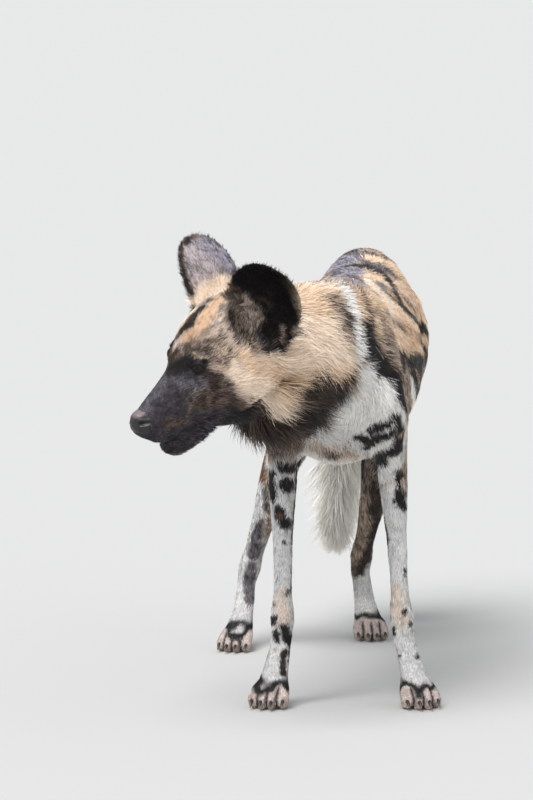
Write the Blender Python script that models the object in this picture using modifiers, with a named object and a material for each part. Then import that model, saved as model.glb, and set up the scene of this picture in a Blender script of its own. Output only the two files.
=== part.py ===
"""An African wild dog, life size, standing with its head turned to its right.

Metres, +Z up. The dog faces -Y, so its left side is +X. The floor is z = 0.
The flesh is built whole from lofts and rounded masses, fused and smoothed, and
then parted by thin cuts into the pieces that a person would name.
"""

import math
import random

import bmesh
import bpy
from mathutils import Matrix, Vector
from mathutils.bvhtree import BVHTree

# Driving sizes
WITHERS_HEIGHT = 0.645
TRUNK_LENGTH = 0.720
TRUNK_FRONT = -0.085
CHEST_WIDTH = 0.232
HIP_SHIFT = 0.046
HEAD_LENGTH = 0.235
EAR_LENGTH = 0.124
EAR_WIDTH = 0.107
EAR_WALL = 0.0042
EYE_RADIUS = 0.0115
HIND_PAW_SHARE = 0.93
TOES = (-1.5, -0.5, 0.5, 1.5)
GAP = 0.0003
CLEAR = 0.00027
SHARP = math.radians(40)

# How finely the fused flesh is made
BODY_VOXEL = 0.0034
HEAD_VOXEL = 0.0024
BODY_TRIANGLES = 5300
HEAD_TRIANGLES = 2400
BODY_SMOOTH, HEAD_SMOOTH = 70, 60

# Where the head is carried, and how it is turned
HEAD_PLACE = Vector((-0.129, -0.203, 0.582))
HEAD_YAW, HEAD_PITCH, HEAD_ROLL = (math.radians(a) for a in (-57, 27.8, 11.3))

RIGHT, LEFT = -1, 1

# Colour and roughness of each surface, the colours as linear values
SURFACES = {
    "coat_tan": ((0.42, 0.26, 0.14, 1), 0.85),
    "coat_dark": ((0.030, 0.024, 0.022, 1), 0.80),
    "coat_white": ((0.62, 0.58, 0.52, 1), 0.85),
    "eye_brown": ((0.045, 0.018, 0.008, 1), 0.12),
}
SURFACE_OF = {
    "torso": "coat_tan",
    "neck": "coat_tan",
    "tail": "coat_white",
    "head": "coat_dark",
    "ear_left": "coat_dark",
    "ear_right": "coat_dark",
    "eye_left": "eye_brown",
    "eye_right": "eye_brown",
    "leg_front_left": "coat_white",
    "leg_front_right": "coat_white",
    "leg_hind_left": "coat_white",
    "leg_hind_right": "coat_white",
}


def material(name):
    colour, roughness = SURFACES[name]
    made = bpy.data.materials.new(name)
    made.use_nodes = True
    shader = made.node_tree.nodes["Principled BSDF"]
    shader.inputs["Base Color"].default_value = colour
    shader.inputs["Roughness"].default_value = roughness
    return made


def clear_scene():
    for old in list(bpy.data.objects):
        bpy.data.objects.remove(old, do_unlink=True)


def link(name, mesh, collection):
    made = bpy.data.objects.new(name, mesh)
    collection.objects.link(made)
    return made


def from_bmesh(name, bm, collection):
    bmesh.ops.recalc_face_normals(bm, faces=bm.faces)
    mesh = bpy.data.meshes.new(name)
    bm.to_mesh(mesh)
    bm.free()
    return link(name, mesh, collection)


def applied(obj, *settings):
    """The object with these modifiers, each (type, {property: value}), applied in turn."""
    for kind, values in settings:
        modifier = obj.modifiers.new(kind.title(), kind)
        for key, value in values.items():
            setattr(modifier, key, value)
    graph = bpy.context.evaluated_depsgraph_get()
    mesh = bpy.data.meshes.new_from_object(obj.evaluated_get(graph))
    obj.modifiers.clear()
    obj.data = mesh
    return obj


def between(rows, u):
    """The rows' values at u, on a smooth curve through them, where u counts rows."""
    last = len(rows) - 1
    i = min(int(u), last - 1)
    t = u - i
    p0, p1, p2, p3 = (rows[max(0, min(last, i + k))] for k in (-1, 0, 1, 2))
    return tuple(
        0.5
        * (
            2 * b
            + (c - a) * t
            + (2 * a - 5 * b + 4 * c - d) * t * t
            + (3 * b - a - 3 * c + d) * t * t * t
        )
        for a, b, c, d in zip(p0, p1, p2, p3)
    )


def loft(stations, side, collection, steps=4, sides=20, taper=0.0):
    """A closed tube through stations (x, y, z, half width, half depth), with round ends.

    The half width lies along side, as near as the path allows. A taper makes the section
    narrower towards its top than at its bottom.
    """
    rows = [between(stations, k / steps) for k in range((len(stations) - 1) * steps + 1)]
    centres = [Vector(row[:3]) for row in rows]
    bm = bmesh.new()
    rings = []
    for k, row in enumerate(rows):
        ahead = centres[min(k + 1, len(rows) - 1)]
        behind = centres[max(k - 1, 0)]
        along = (ahead - behind).normalized()
        deep = along.cross(side).normalized()
        wide = deep.cross(along).normalized()
        rings.append((centres[k], along, wide * max(row[3], 0.001), deep * max(row[4], 0.001)))
    made = []
    first, last = rings[0], rings[-1]
    caps = ((first, -1), (last, 1))
    ordered = []
    for end, way in caps:
        centre, along, wide, deep = end
        reach = min(wide.length, deep.length) * 0.6
        for swell in (0.55, 0.87):
            rise = reach * math.sqrt(1 - swell * swell) * way
            ordered.append((centre + along * rise, along, wide * swell, deep * swell))
    whole = [ordered[0], ordered[1], *rings, ordered[3], ordered[2]]
    for centre, along, wide, deep in whole:
        ring = []
        for j in range(sides):
            angle = 2 * math.pi * j / sides
            across = wide * math.cos(angle) * (1 + taper * math.sin(angle))
            ring.append(bm.verts.new(centre + across + deep * math.sin(angle)))
        made.append(ring)
    for low, high in zip(made, made[1:]):
        for j in range(sides):
            bm.faces.new((low[j], low[(j + 1) % sides], high[(j + 1) % sides], high[j]))
    bm.faces.new(made[0])
    bm.faces.new(made[-1])
    return from_bmesh("loft", bm, collection)


def mass(centre, radii, collection, turn=None, detail=3):
    """A rounded mass of muscle, bone or pad: an icosphere stretched to three radii."""
    bm = bmesh.new()
    bmesh.ops.create_icosphere(bm, subdivisions=detail, radius=1.0)
    shape = Matrix.Translation(Vector(centre))
    if turn is not None:
        shape = shape @ turn.to_4x4()
    shape = shape @ Matrix.Diagonal((*radii, 1.0))
    bmesh.ops.transform(bm, matrix=shape, verts=bm.verts)
    return from_bmesh("mass", bm, collection)


def joined(name, objects, collection):
    bm = bmesh.new()
    for obj in objects:
        bm.from_mesh(obj.data)
        bpy.data.objects.remove(obj)
    mesh = bpy.data.meshes.new(name)
    bm.to_mesh(mesh)
    bm.free()
    return link(name, mesh, collection)


def share_between(value, start, end):
    """How far a value has come from start to end, held between 0 and 1."""
    return max(0.0, min(1.0, (value - start) / (end - start)))


def fused(name, objects, collection, voxel, smooth, keep_fine, triangles):
    """The masses as one skin: remeshed, smoothed more where keep_fine is low, and thinned."""
    body = joined(name, objects, collection)
    applied(body, ("REMESH", {"mode": "VOXEL", "voxel_size": voxel}))
    group = body.vertex_groups.new(name="smooth")
    for vertex in body.data.vertices:
        group.add([vertex.index], 1.0 - keep_fine(vertex.co), "REPLACE")
    soft = {"factor": 0.5, "iterations": smooth, "vertex_group": "smooth"}
    light = {"factor": 0.5, "iterations": 3}
    applied(body, ("SMOOTH", soft), ("SMOOTH", light))
    body.data.calc_loop_triangles()
    ratio = triangles / len(body.data.loop_triangles)
    applied(body, ("DECIMATE", {"ratio": ratio, "use_collapse_triangulate": True}))
    body.vertex_groups.clear()
    return body


# Trunk
# Each row: share of the length from the chest, back line, brisket line, half width,
# the lines as shares of the withers' height and the width as a share of the chest's.
TRUNK = (
    (0.00, 0.800, 0.690, 0.20),
    (0.04, 0.880, 0.620, 0.33),
    (0.11, 0.955, 0.568, 0.41),
    (0.19, 0.985, 0.558, 0.44),
    (0.29, 0.980, 0.560, 0.47),
    (0.40, 0.975, 0.580, 0.49),
    (0.51, 0.975, 0.605, 0.48),
    (0.62, 0.975, 0.640, 0.44),
    (0.71, 0.985, 0.665, 0.40),
    (0.80, 1.000, 0.690, 0.37),
    (0.88, 0.995, 0.715, 0.33),
    (0.95, 0.960, 0.745, 0.25),
    (1.00, 0.915, 0.785, 0.14),
)
BACK_TAPER = 0.14


def trunk_shift(y):
    """How far the trunk's middle has swung to the left at y: nothing at the chest."""
    share = (y - 0.04) / (0.50 - 0.04)
    return HIP_SHIFT * max(0.0, min(1.0, share))


def trunk_forms(collection):
    stations = []
    for share, back, brisket, width in TRUNK:
        y = TRUNK_FRONT + share * TRUNK_LENGTH
        top, bottom = back * WITHERS_HEIGHT, brisket * WITHERS_HEIGHT
        middle = (top + bottom) / 2
        stations.append((trunk_shift(y), y, middle, width * CHEST_WIDTH, (top - bottom) / 2))
    return [loft(stations, Vector((1, 0, 0)), collection, sides=28, taper=BACK_TAPER)]


# Legs
# Each joint is (x, y, z). The girths are (place along the joints, half width, half depth).
FORE_JOINTS = {
    LEFT: (
        (0.046, 0.045, 0.585),
        (0.066, -0.036, 0.480),
        (0.079, 0.030, 0.372),
        (0.094, 0.010, 0.135),
        (0.106, 0.003, 0.068),
        (0.116, -0.012, 0.030),
    ),
    RIGHT: (
        (-0.050, 0.045, 0.585),
        (-0.074, -0.036, 0.480),
        (-0.085, 0.030, 0.372),
        (-0.086, 0.010, 0.135),
        (-0.093, 0.003, 0.068),
        (-0.101, -0.012, 0.030),
    ),
}
FORE_GIRTHS = (
    (0.0, 0.030, 0.052),
    (0.6, 0.034, 0.066),
    (1.0, 0.034, 0.066),
    (1.5, 0.032, 0.058),
    (2.0, 0.026, 0.043),
    (2.2, 0.0220, 0.033),
    (2.5, 0.0158, 0.0215),
    (2.8, 0.0150, 0.0170),
    (3.0, 0.0195, 0.0185),
    (3.35, 0.0170, 0.0160),
    (4.0, 0.0190, 0.0165),
    (5.0, 0.0240, 0.0200),
)
FORE_TOES = {LEFT: (Vector((0.119, -0.013, 0)), 14), RIGHT: (Vector((-0.104, -0.013, 0)), -12)}

HIND_JOINTS = {
    LEFT: (
        (0.090, 0.525, 0.550),
        (0.082, 0.465, 0.350),
        (0.045, 0.600, 0.132),
        (0.049, 0.588, 0.062),
        (0.055, 0.570, 0.028),
    ),
    RIGHT: (
        (0.006, 0.515, 0.550),
        (-0.075, 0.425, 0.345),
        (-0.136, 0.508, 0.130),
        (-0.147, 0.488, 0.062),
        (-0.154, 0.470, 0.028),
    ),
}
HIND_GIRTHS = (
    (0.0, 0.050, 0.080),
    (0.45, 0.042, 0.076),
    (0.8, 0.034, 0.062),
    (1.0, 0.030, 0.052),
    (1.3, 0.0255, 0.042),
    (1.6, 0.0185, 0.0290),
    (1.85, 0.0160, 0.0205),
    (2.0, 0.0190, 0.0255),
    (2.25, 0.0165, 0.0185),
    (3.0, 0.0180, 0.0165),
    (4.0, 0.0235, 0.0200),
)
HIND_TOES = {LEFT: (Vector((0.058, 0.562, 0)), 6), RIGHT: (Vector((-0.158, 0.462, 0)), -16)}

TOE_SPREAD = 0.0148
TOE_RADIUS = 0.0086
OUTER_SETBACK = 0.011
PAD_SINK = 0.0022
CLAW_LENGTH = 0.013
CLAW_RADIUS = 0.0027


def limb(joints, girths, collection):
    """A leg's flesh: a loft on a smooth line through the joints."""
    stations = [(*between(joints, u), wide, deep) for u, wide, deep in girths]
    return loft(stations, Vector((1, 0, 0)), collection, steps=4, sides=18)


def paw_frame(place, turn, size):
    """The paw's own frame: its origin on the floor, toes towards -Y, turned outwards."""
    turned = Matrix.Translation(place) @ Matrix.Rotation(math.radians(turn), 4, "Z")
    return turned @ Matrix.Scale(size, 4)


def toe_place(n):
    """A toe's line across the paw and how far it stands back, for n of -1.5 to 1.5."""
    return n * TOE_SPREAD, OUTER_SETBACK if abs(n) > 1 else 0.0


def paw_forms(place, turn, size, collection):
    """Four toes with their pads, and the large pad behind them."""
    forms = []
    for n in TOES:
        x, back = toe_place(n)
        splay = 0.0005 * n
        toe = (
            (x * 0.86, 0.004 + back * 0.6, 0.030, TOE_RADIUS, TOE_RADIUS * 1.1),
            (x * 0.98, -0.012 + back, 0.024, TOE_RADIUS * 1.02, TOE_RADIUS * 1.15),
            (x * 1.06 + splay, -0.029 + back, 0.0125, TOE_RADIUS, 0.0100),
        )
        forms.append(loft(toe, Vector((1, 0, 0)), collection, 3, 12))
        pad = (x * 1.05, -0.024 + back, 0.007)
        forms.append(mass(pad, (0.0078, 0.0115, 0.007 + PAD_SINK), collection))
    forms.append(mass((0, 0.012, 0.0085), (0.0190, 0.0145, 0.0085 + PAD_SINK), collection))
    forms.append(mass((0, 0.002, 0.024), (0.0235, 0.020, 0.015), collection))
    for obj in forms:
        obj.data.transform(paw_frame(place, turn, size))
    return forms


def claw_forms(place, turn, size, collection):
    """A blunt claw at the end of each toe, its root sunk in the toe, its point clear of the floor."""
    claws = []
    for n in TOES:
        x, back = toe_place(n)
        x *= 1.07
        front = -0.0345 + back
        claw = (
            (x, front, 0.0125, CLAW_RADIUS, CLAW_RADIUS * 1.25),
            (x, front - 0.4 * CLAW_LENGTH, 0.0105, CLAW_RADIUS * 0.85, CLAW_RADIUS),
            (x, front - CLAW_LENGTH * 0.85, 0.0055, CLAW_RADIUS * 0.5, CLAW_RADIUS * 0.5),
        )
        claws.append(loft(claw, Vector((1, 0, 0)), collection, 1, 6))
        claws[-1].data.transform(paw_frame(place, turn, size))
    return claws


# The muscle behind each thigh, from the seat bone down to the tendon of the hock
HAMSTRING = {
    LEFT: (
        (0.074, 0.582, 0.500),
        (0.074, 0.566, 0.420),
        (0.069, 0.548, 0.335),
        (0.057, 0.560, 0.255),
        (0.047, 0.596, 0.175),
    ),
    RIGHT: (
        (0.004, 0.572, 0.500),
        (-0.028, 0.550, 0.420),
        (-0.060, 0.518, 0.335),
        (-0.096, 0.502, 0.255),
        (-0.129, 0.506, 0.175),
    ),
}
HAMSTRING_GIRTHS = (
    (0.0, 0.034, 0.036),
    (1.0, 0.034, 0.042),
    (2.0, 0.026, 0.040),
    (3.0, 0.0150, 0.0280),
    (4.0, 0.0100, 0.0150),
)


def leg_forms(collection):
    forms = []
    for side in (LEFT, RIGHT):
        forms.append(limb(FORE_JOINTS[side], FORE_GIRTHS, collection))
        forms.append(limb(HIND_JOINTS[side], HIND_GIRTHS, collection))
        forms.append(limb(HAMSTRING[side], HAMSTRING_GIRTHS, collection))
        forms += paw_forms(*FORE_TOES[side], 1.0, collection)
        forms += paw_forms(*HIND_TOES[side], HIND_PAW_SHARE, collection)
        forms += joint_masses(side, collection)
    return forms


def joint_masses(side, collection):
    """What breaks the legs' outline: elbow point, wrist pad, shoulder, stifle and hock."""
    fore, hind = FORE_JOINTS[side], HIND_JOINTS[side]
    elbow, wrist = Vector(fore[2]), Vector(fore[3])
    stifle, hock = Vector(hind[1]), Vector(hind[2])
    hip = Vector(hind[0])
    return [
        mass(elbow + Vector((0.002 * side, 0.030, 0.004)), (0.016, 0.018, 0.022), collection),
        mass(wrist + Vector((0, 0.017, -0.004)), (0.0095, 0.0095, 0.013), collection),
        mass(stifle + Vector((-0.004 * side, -0.004, 0.010)), (0.028, 0.040, 0.042), collection),
        mass(hock + Vector((0, 0.018, 0.016)), (0.0105, 0.013, 0.022), collection),
        mass(hip + Vector((0.012 * side, 0.004, -0.060)), (0.050, 0.084, 0.095), collection),
    ]


# Neck
NECK = (
    (0.004, 0.062, 0.520, 0.086, 0.120),
    (0.000, -0.010, 0.527, 0.083, 0.124),
    (-0.022, -0.075, 0.541, 0.080, 0.115),
    (-0.062, -0.128, 0.552, 0.077, 0.104),
    (-0.100, -0.168, 0.560, 0.074, 0.092),
    (-0.128, -0.196, 0.568, 0.069, 0.080),
)


# The dense hair under the throat, up to about half way to its tips
THROAT_CORE = ((-0.100, -0.140, 0.478), (0.048, 0.056, 0.046))


def neck_forms(collection):
    neck = loft(NECK, Vector((1, 0, 0)), collection, steps=5, sides=26)
    return [neck, mass(*THROAT_CORE, collection)]


# Tail
TAIL_LINE = (
    (0.047, 0.560, 0.575),
    (0.047, 0.620, 0.572),
    (0.043, 0.662, 0.535),
    (0.032, 0.684, 0.465),
    (0.022, 0.690, 0.390),
    (0.017, 0.685, 0.310),
    (0.011, 0.675, 0.235),
)
TAIL_GIRTHS = (
    (0.0, 0.030, 0.026),
    (1.0, 0.024, 0.021),
    (2.0, 0.0180, 0.0165),
    (3.0, 0.0165, 0.0155),
    (4.0, 0.0205, 0.0185),
    (5.0, 0.0205, 0.0185),
    (6.0, 0.0120, 0.0110),
)


def tail_line(u):
    return Vector(between(TAIL_LINE, u))


def tail_forms(collection):
    stations = [(*between(TAIL_LINE, u), w, d) for u, w, d in TAIL_GIRTHS]
    return [loft(stations, Vector((1, 0, 0)), collection, steps=3, sides=14)]


# Head, in its own frame: -Y towards the nose, +X to its left, the origin at the crown's middle
# Each row: share of the head's length from the crown, top, bottom and half width in metres.
SKULL = (
    (-0.16, 0.076, -0.062, 0.056),
    (0.02, 0.095, -0.072, 0.061),
    (0.16, 0.100, -0.078, 0.064),
    (0.30, 0.094, -0.080, 0.063),
    (0.40, 0.079, -0.075, 0.058),
    (0.48, 0.062, -0.066, 0.049),
    (0.56, 0.046, -0.060, 0.040),
    (0.66, 0.034, -0.054, 0.034),
    (0.78, 0.0235, -0.050, 0.0305),
    (0.88, 0.0165, -0.043, 0.027),
    (0.95, 0.0110, -0.030, 0.0215),
    (0.985, 0.0040, -0.014, 0.0130),
)
CROWN_TAPER = -0.24
JAW = (
    (0.10, -0.062, 0.044, 0.044),
    (0.28, -0.066, 0.037, 0.040),
    (0.45, -0.069, 0.028, 0.034),
    (0.60, -0.071, 0.0220, 0.029),
    (0.72, -0.070, 0.0185, 0.0265),
    (0.80, -0.066, 0.0150, 0.0205),
    (0.84, -0.064, 0.0110, 0.0135),
)
# Rounded masses on each side: the jaw muscle, cheekbone, brow, upper lip, ear's root and ruff
FACE_MASSES = (
    ((0.040, -0.060, -0.022), (0.030, 0.048, 0.048)),
    ((0.040, -0.090, 0.004), (0.012, 0.040, 0.014)),
    ((0.025, -0.104, 0.043), (0.019, 0.020, 0.010)),
    ((0.016, -0.190, -0.031), (0.0145, 0.036, 0.0170)),
    ((0.036, 0.000, 0.036), (0.026, 0.036, 0.028)),
    ((0.036, 0.014, -0.022), (0.040, 0.062, 0.058)),
)
NOSE_PAD = ((0, -0.2220, 0.0015), (0.0155, 0.0100, 0.0110))
EYE_PLACE = Vector((0.0345, -0.1205, 0.0370))
NOSTRIL_PLACE = (0.0115, -0.2240, -0.0030)
NOSTRIL_SLIT = (0.0170, -0.2160, -0.0060)


def head_frame():
    """Where the head is carried: turned to the right, pitched down and a little tilted."""
    return (
        Matrix.Translation(HEAD_PLACE)
        @ Matrix.Rotation(HEAD_YAW, 4, "Z")
        @ Matrix.Rotation(HEAD_PITCH, 4, "X")
        @ Matrix.Rotation(HEAD_ROLL, 4, "Y")
    )


def head_forms(collection):
    skull = []
    for share, top, bottom, wide in SKULL:
        skull.append((0, -share * HEAD_LENGTH, (top + bottom) / 2, wide, (top - bottom) / 2))
    jaw = [(0, -share * HEAD_LENGTH, z, wide, deep) for share, z, wide, deep in JAW]
    forms = [
        loft(skull, Vector((1, 0, 0)), collection, steps=3, sides=28, taper=CROWN_TAPER),
        loft(jaw, Vector((1, 0, 0)), collection, steps=3, sides=20),
        mass(*NOSE_PAD, collection),
    ]
    for side in (LEFT, RIGHT):
        for (x, y, z), radii in FACE_MASSES:
            forms.append(mass((x * side, y, z), radii, collection))
    for obj in forms:
        obj.data.transform(head_frame())
    return forms


EAR_SUNK, EAR_SIDE_DROP = 0.08, 0.030
# The bowl at the bottom of the ear's cup, which is hollowed out of the head, in the ear's frame
EAR_BOWL = ((0.003, -0.028, 0.017), (0.046, 0.033, 0.036))


def ear_surface(side, collection):
    """One ear as a rounded cup: an open surface curled about its length, given a wall."""
    low_rows, high_rows, columns = 5, 6, 10
    widest = 0.55
    bm = bmesh.new()
    grid = []
    for i in range(low_rows + high_rows + 1):
        if i <= low_rows:
            v = (widest + EAR_SUNK) * i / low_rows - EAR_SUNK
            half = EAR_WIDTH / 2 * (0.84 + 0.16 * math.sin(v / widest * math.pi / 2))
        else:
            angle = math.pi / 2 * (i - low_rows) / high_rows
            v = widest + (1 - widest) * math.sin(angle)
            half = EAR_WIDTH / 2 * math.cos(angle) ** 0.85
        curl = 0.054 + 0.086 * v
        row = []
        for j in range(columns + 1):
            u = 2 * j / columns - 1
            angle = u * half * 1.15 / curl
            lean = 0.012 * math.sin(v * math.pi)
            spot = Vector(
                (
                    curl * math.sin(angle) * side,
                    -curl * (1 - math.cos(angle)) + lean,
                    EAR_LENGTH * v - EAR_SIDE_DROP * u * u * (1 - v),
                )
            )
            row.append(bm.verts.new(spot))
        grid.append(row)
    for low, high in zip(grid, grid[1:]):
        for j in range(columns):
            bm.faces.new((low[j], low[j + 1], high[j + 1], high[j]))
    bmesh.ops.remove_doubles(bm, verts=bm.verts, dist=0.0008)
    ear = from_bmesh("ear", bm, collection)
    solid = {"thickness": EAR_WALL, "offset": 0.0, "use_even_offset": False}
    applied(ear, ("SOLIDIFY", solid))
    return ear


EAR_ROOT = Vector((0.040, -0.001, 0.045))
EAR_OUT = {LEFT: 33, RIGHT: 51}
EAR_BACK = {LEFT: 5, RIGHT: 20}
EAR_TURN = {LEFT: 18, RIGHT: 61}


def ear_frame(side):
    """The ear's root in the world: leaning out from the crown, its cup turned outwards."""
    local = (
        Matrix.Translation(Vector((EAR_ROOT.x * side, EAR_ROOT.y, EAR_ROOT.z)))
        @ Matrix.Rotation(math.radians(EAR_OUT[side]) * side, 4, "Y")
        @ Matrix.Rotation(-math.radians(EAR_BACK[side]), 4, "X")
        @ Matrix.Rotation(math.radians(EAR_TURN[side]) * side, 4, "Z")
    )
    return head_frame() @ local


# Eyes, lids, mouth and nose, set on the finished surface of the head
EYE_SINK = 0.0080
EYE_OUT, EYE_UP = math.radians(58), math.radians(10)
LID_RADIUS = 0.0021
LID_SPAN = math.radians(70)
UPPER_LID, LOWER_LID = math.radians(27), math.radians(-22)
MOUTH = (
    (0.016, -0.2120, -0.0420),
    (0.024, -0.1980, -0.0460),
    (0.029, -0.1780, -0.0495),
    (0.034, -0.1570, -0.0525),
    (0.038, -0.1370, -0.0555),
    (0.042, -0.1180, -0.0560),
)
MOUTH_FRONT = (0.0, -0.2240, -0.0385)
MOUTH_HALF_HEIGHT, MOUTH_DEPTH = 0.0012, 0.0036


def surface_point(head, place):
    """The point of the head's surface nearest to a place, both in the head's own frame."""
    home = head_frame()
    tree = BVHTree.FromObject(head, bpy.context.evaluated_depsgraph_get())
    found = tree.find_nearest(home @ Vector(place))[0]
    return home.inverted() @ found


def eye_axis(side):
    """The way the eye looks, in the head's frame: outwards, forwards and a little up."""
    flat = math.cos(EYE_UP)
    return Vector((math.sin(EYE_OUT) * side * flat, -math.cos(EYE_OUT) * flat, math.sin(EYE_UP)))


def eye_centre(head, side):
    place = Vector((EYE_PLACE.x * side, EYE_PLACE.y, EYE_PLACE.z))
    look = eye_axis(side)
    return surface_point(head, place) - look * EYE_SINK


def lid(centre, side, lift, collection):
    """One eyelid: a tapered roll that bends round the ball from corner to corner."""
    look = eye_axis(side)
    across = look.cross(Vector((0, 0, 1))).normalized()
    up = across.cross(look).normalized()
    reach = EYE_RADIUS + LID_RADIUS * 0.35
    stations = []
    for k in range(7):
        t = k / 3 - 1
        turn, rise = t * LID_SPAN, lift * (1 - t * t)
        way = look * math.cos(turn) * math.cos(rise) + across * math.sin(turn) + up * math.sin(rise)
        girth = LID_RADIUS * (1 - 0.35 * abs(t))
        stations.append((*(centre + way.normalized() * reach), girth, girth))
    return loft(stations, up, collection, 1, 6)


def mouth_line(head, collection):
    """The groove of the mouth, from one corner round the front of the jaw to the other."""
    row = [*reversed(MOUTH), MOUTH_FRONT]
    left = []
    for k in range(2 * len(row) - 2):
        left.append(surface_point(head, between(row, k / 2)))
    front = surface_point(head, MOUTH_FRONT)
    right = [Vector((-p.x, p.y, p.z)) for p in reversed(left)]
    stations = [(*spot, MOUTH_HALF_HEIGHT, MOUTH_DEPTH) for spot in (*left, front, *right)]
    return loft(stations, Vector((0, 0, 1)), collection, 1, 6)


def nostril(side, collection):
    """A nostril: a round opening at the front, with a slit running back from it."""
    front, slit = Vector(NOSTRIL_PLACE), Vector(NOSTRIL_SLIT)
    front.x *= side
    slit.x *= side
    return [
        mass(front, (0.0036, 0.0065, 0.0034), collection, detail=2),
        mass(slit, (0.0045, 0.0080, 0.0016), collection, detail=2),
    ]


# Locks of long hair: how deep a root sinks, and each ring's place along and share of the width
LOCK_SINK = 0.006
LOCK_SHAPE = ((0.0, 0.85), (0.40, 1.0), (0.76, 0.62))
LOCK_BEND = 0.62 * math.pi
LOCK_THICK = 0.0068
LOCK_VARIES = 0.12
LOCK_STRAYS = 0.08

# The tail's brush: rings of locks along the tail, and their lift as shares of the length
BRUSH_RINGS, BRUSH_ROUND = 5, 6
BRUSH_START, BRUSH_END = 2.9, 5.9
BRUSH_LOCK, BRUSH_WIDTH = 0.104, 0.038
BRUSH_LIFT_TOP, BRUSH_LIFT_LOW = 0.30, 0.09
BRUSH_ROOT = 0.95

# The ruff: rows under the jaw by the head's Y, and rows on the neck by the place along it
JAW_ROWS = (-0.060, -0.032, -0.006)
NECK_ROWS = (4.40, 3.95, 3.50, 3.05)
JAW_ROUND, JAW_SPREAD = 5, math.radians(62)
NECK_ROUND, NECK_SPREAD = 9, math.radians(118)
RUFF_LOCK, RUFF_WIDTH = 0.064, 0.034
RUFF_LIFT, RUFF_LIFT_UNDER = 0.10, 0.16
RUFF_DROOP, RUFF_DROOP_UNDER = 0.40, 0.45
RUFF_LONGER_UNDER = 0.15
RUFF_FACING = 0.5


def lock(root, along, outward, length, width, lift, collection):
    """A flat, tapered lock of three sides, from a sunk root to one point.

    It rises from the surface by the lift, a share of its length, and bends back along the lie.
    """
    along = along.normalized()
    across = along.cross(outward).normalized()
    outward = across.cross(along).normalized()
    bm = bmesh.new()
    rings = []
    for share, girth in LOCK_SHAPE:
        rise = lift * length * math.sin(share * LOCK_BEND) - LOCK_SINK * (1 - share)
        centre = root + along * (share * length) + outward * rise
        half, deep = across * (width / 2 * girth), outward * (LOCK_THICK * girth)
        rings.append([bm.verts.new(centre + way) for way in (half, deep, -half)])
    point = root + along * length + outward * (lift * length * math.sin(LOCK_BEND))
    tip = bm.verts.new(point)
    for low, high in zip(rings, rings[1:]):
        for j in range(3):
            bm.faces.new((low[j], low[(j + 1) % 3], high[(j + 1) % 3], high[j]))
    for j in range(3):
        bm.faces.new((rings[-1][j], rings[-1][(j + 1) % 3], tip))
    bm.faces.new(rings[0])
    bmesh.ops.triangulate(bm, faces=bm.faces)
    return from_bmesh("lock", bm, collection)


def varied(value, chance):
    return value * chance.uniform(1 - LOCK_VARIES, 1 + LOCK_VARIES)


def brush_locks(collection):
    """The tail's brush: locks in rings down the tail, each ring over the next."""
    chance = random.Random(5)
    made = []
    for ring in range(BRUSH_RINGS):
        share = ring / (BRUSH_RINGS - 1)
        u = BRUSH_START + (BRUSH_END - BRUSH_START) * share
        down = (tail_line(min(6.0, u + 0.2)) - tail_line(u - 0.2)).normalized()
        side = (Vector((1, 0, 0)) - down * down.x).normalized()
        depth = down.cross(side)
        girth = between(TAIL_GIRTHS, u)[1] * BRUSH_ROOT
        for k in range(BRUSH_ROUND):
            place = k + 0.5 * (ring % 2) + chance.uniform(-LOCK_STRAYS, LOCK_STRAYS)
            angle = 2 * math.pi * place / BRUSH_ROUND
            out = side * math.cos(angle) + depth * math.sin(angle)
            length = varied(BRUSH_LOCK * (0.80 + 0.20 * share), chance)
            width = varied(BRUSH_WIDTH, chance)
            lift = varied(BRUSH_LIFT_TOP + (BRUSH_LIFT_LOW - BRUSH_LIFT_TOP) * share, chance)
            along = down + side * chance.uniform(-LOCK_STRAYS, LOCK_STRAYS)
            root = tail_line(u) + out * girth
            made.append(lock(root, along, out, length, width, lift, collection))
    return made


def jaw_rows():
    """Each row under the jaw: a centre in the flesh, the way back and the way down."""
    home = head_frame()
    turn = home.to_3x3()
    back, down = turn @ Vector((0, 1, 0)), turn @ Vector((0, 0, -1))
    return [(home @ Vector((0, y, 0)), back, down) for y in JAW_ROWS]


def neck_rows():
    """Each row round the neck, as the rows under the jaw."""
    rows = []
    for u in NECK_ROWS:
        centre = Vector(between(NECK, u)[:3])
        back = (Vector(between(NECK, u - 0.3)[:3]) - centre).normalized()
        rows.append((centre, back, Vector((0, 0, -1))))
    return rows


def ruff_locks(flesh, rows, count, spread, seed, collection):
    """The ruff's locks on the head or neck, which lie back and droop, most of all underneath."""
    chance = random.Random(seed)
    tree = BVHTree.FromObject(flesh, bpy.context.evaluated_depsgraph_get())
    made = []
    for i, (centre, back, down) in enumerate(rows):
        side = back.cross(down).normalized()
        for k in range(count):
            place = k + 0.25 + 0.5 * (i % 2) + chance.uniform(-LOCK_STRAYS, LOCK_STRAYS)
            turn = (2 * place / count - 1) * spread
            under = max(0.0, math.cos(turn))
            out = side * math.sin(turn) + down * math.cos(turn)
            root, normal = tree.ray_cast(centre, out)[:2]
            if root is None or normal.dot(out) < RUFF_FACING:
                continue
            along = back - Vector((0, 0, RUFF_DROOP + RUFF_DROOP_UNDER * under))
            along -= normal * along.dot(normal)
            length = varied(RUFF_LOCK * (1 + RUFF_LONGER_UNDER * under), chance)
            width = varied(RUFF_WIDTH, chance)
            lift = RUFF_LIFT + RUFF_LIFT_UNDER * under
            made.append(lock(root, along, normal, length, width, lift, collection))
    return made


def with_locks(node, locks, keep_clear, helpers):
    """Fuses the locks to their node, cuts them clear of its neighbours and drops any scrap."""
    combined(node, locks, "UNION", helpers)
    combined(node, [grown(other, CLEAR, helpers) for other in keep_clear], "DIFFERENCE", helpers)
    return largest_only(node)


# Parting cuts, what counts as one vertex after them, and how often a torn spot is closed again
MERGE = 0.00002
MEND_ROUNDS = 8


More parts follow.
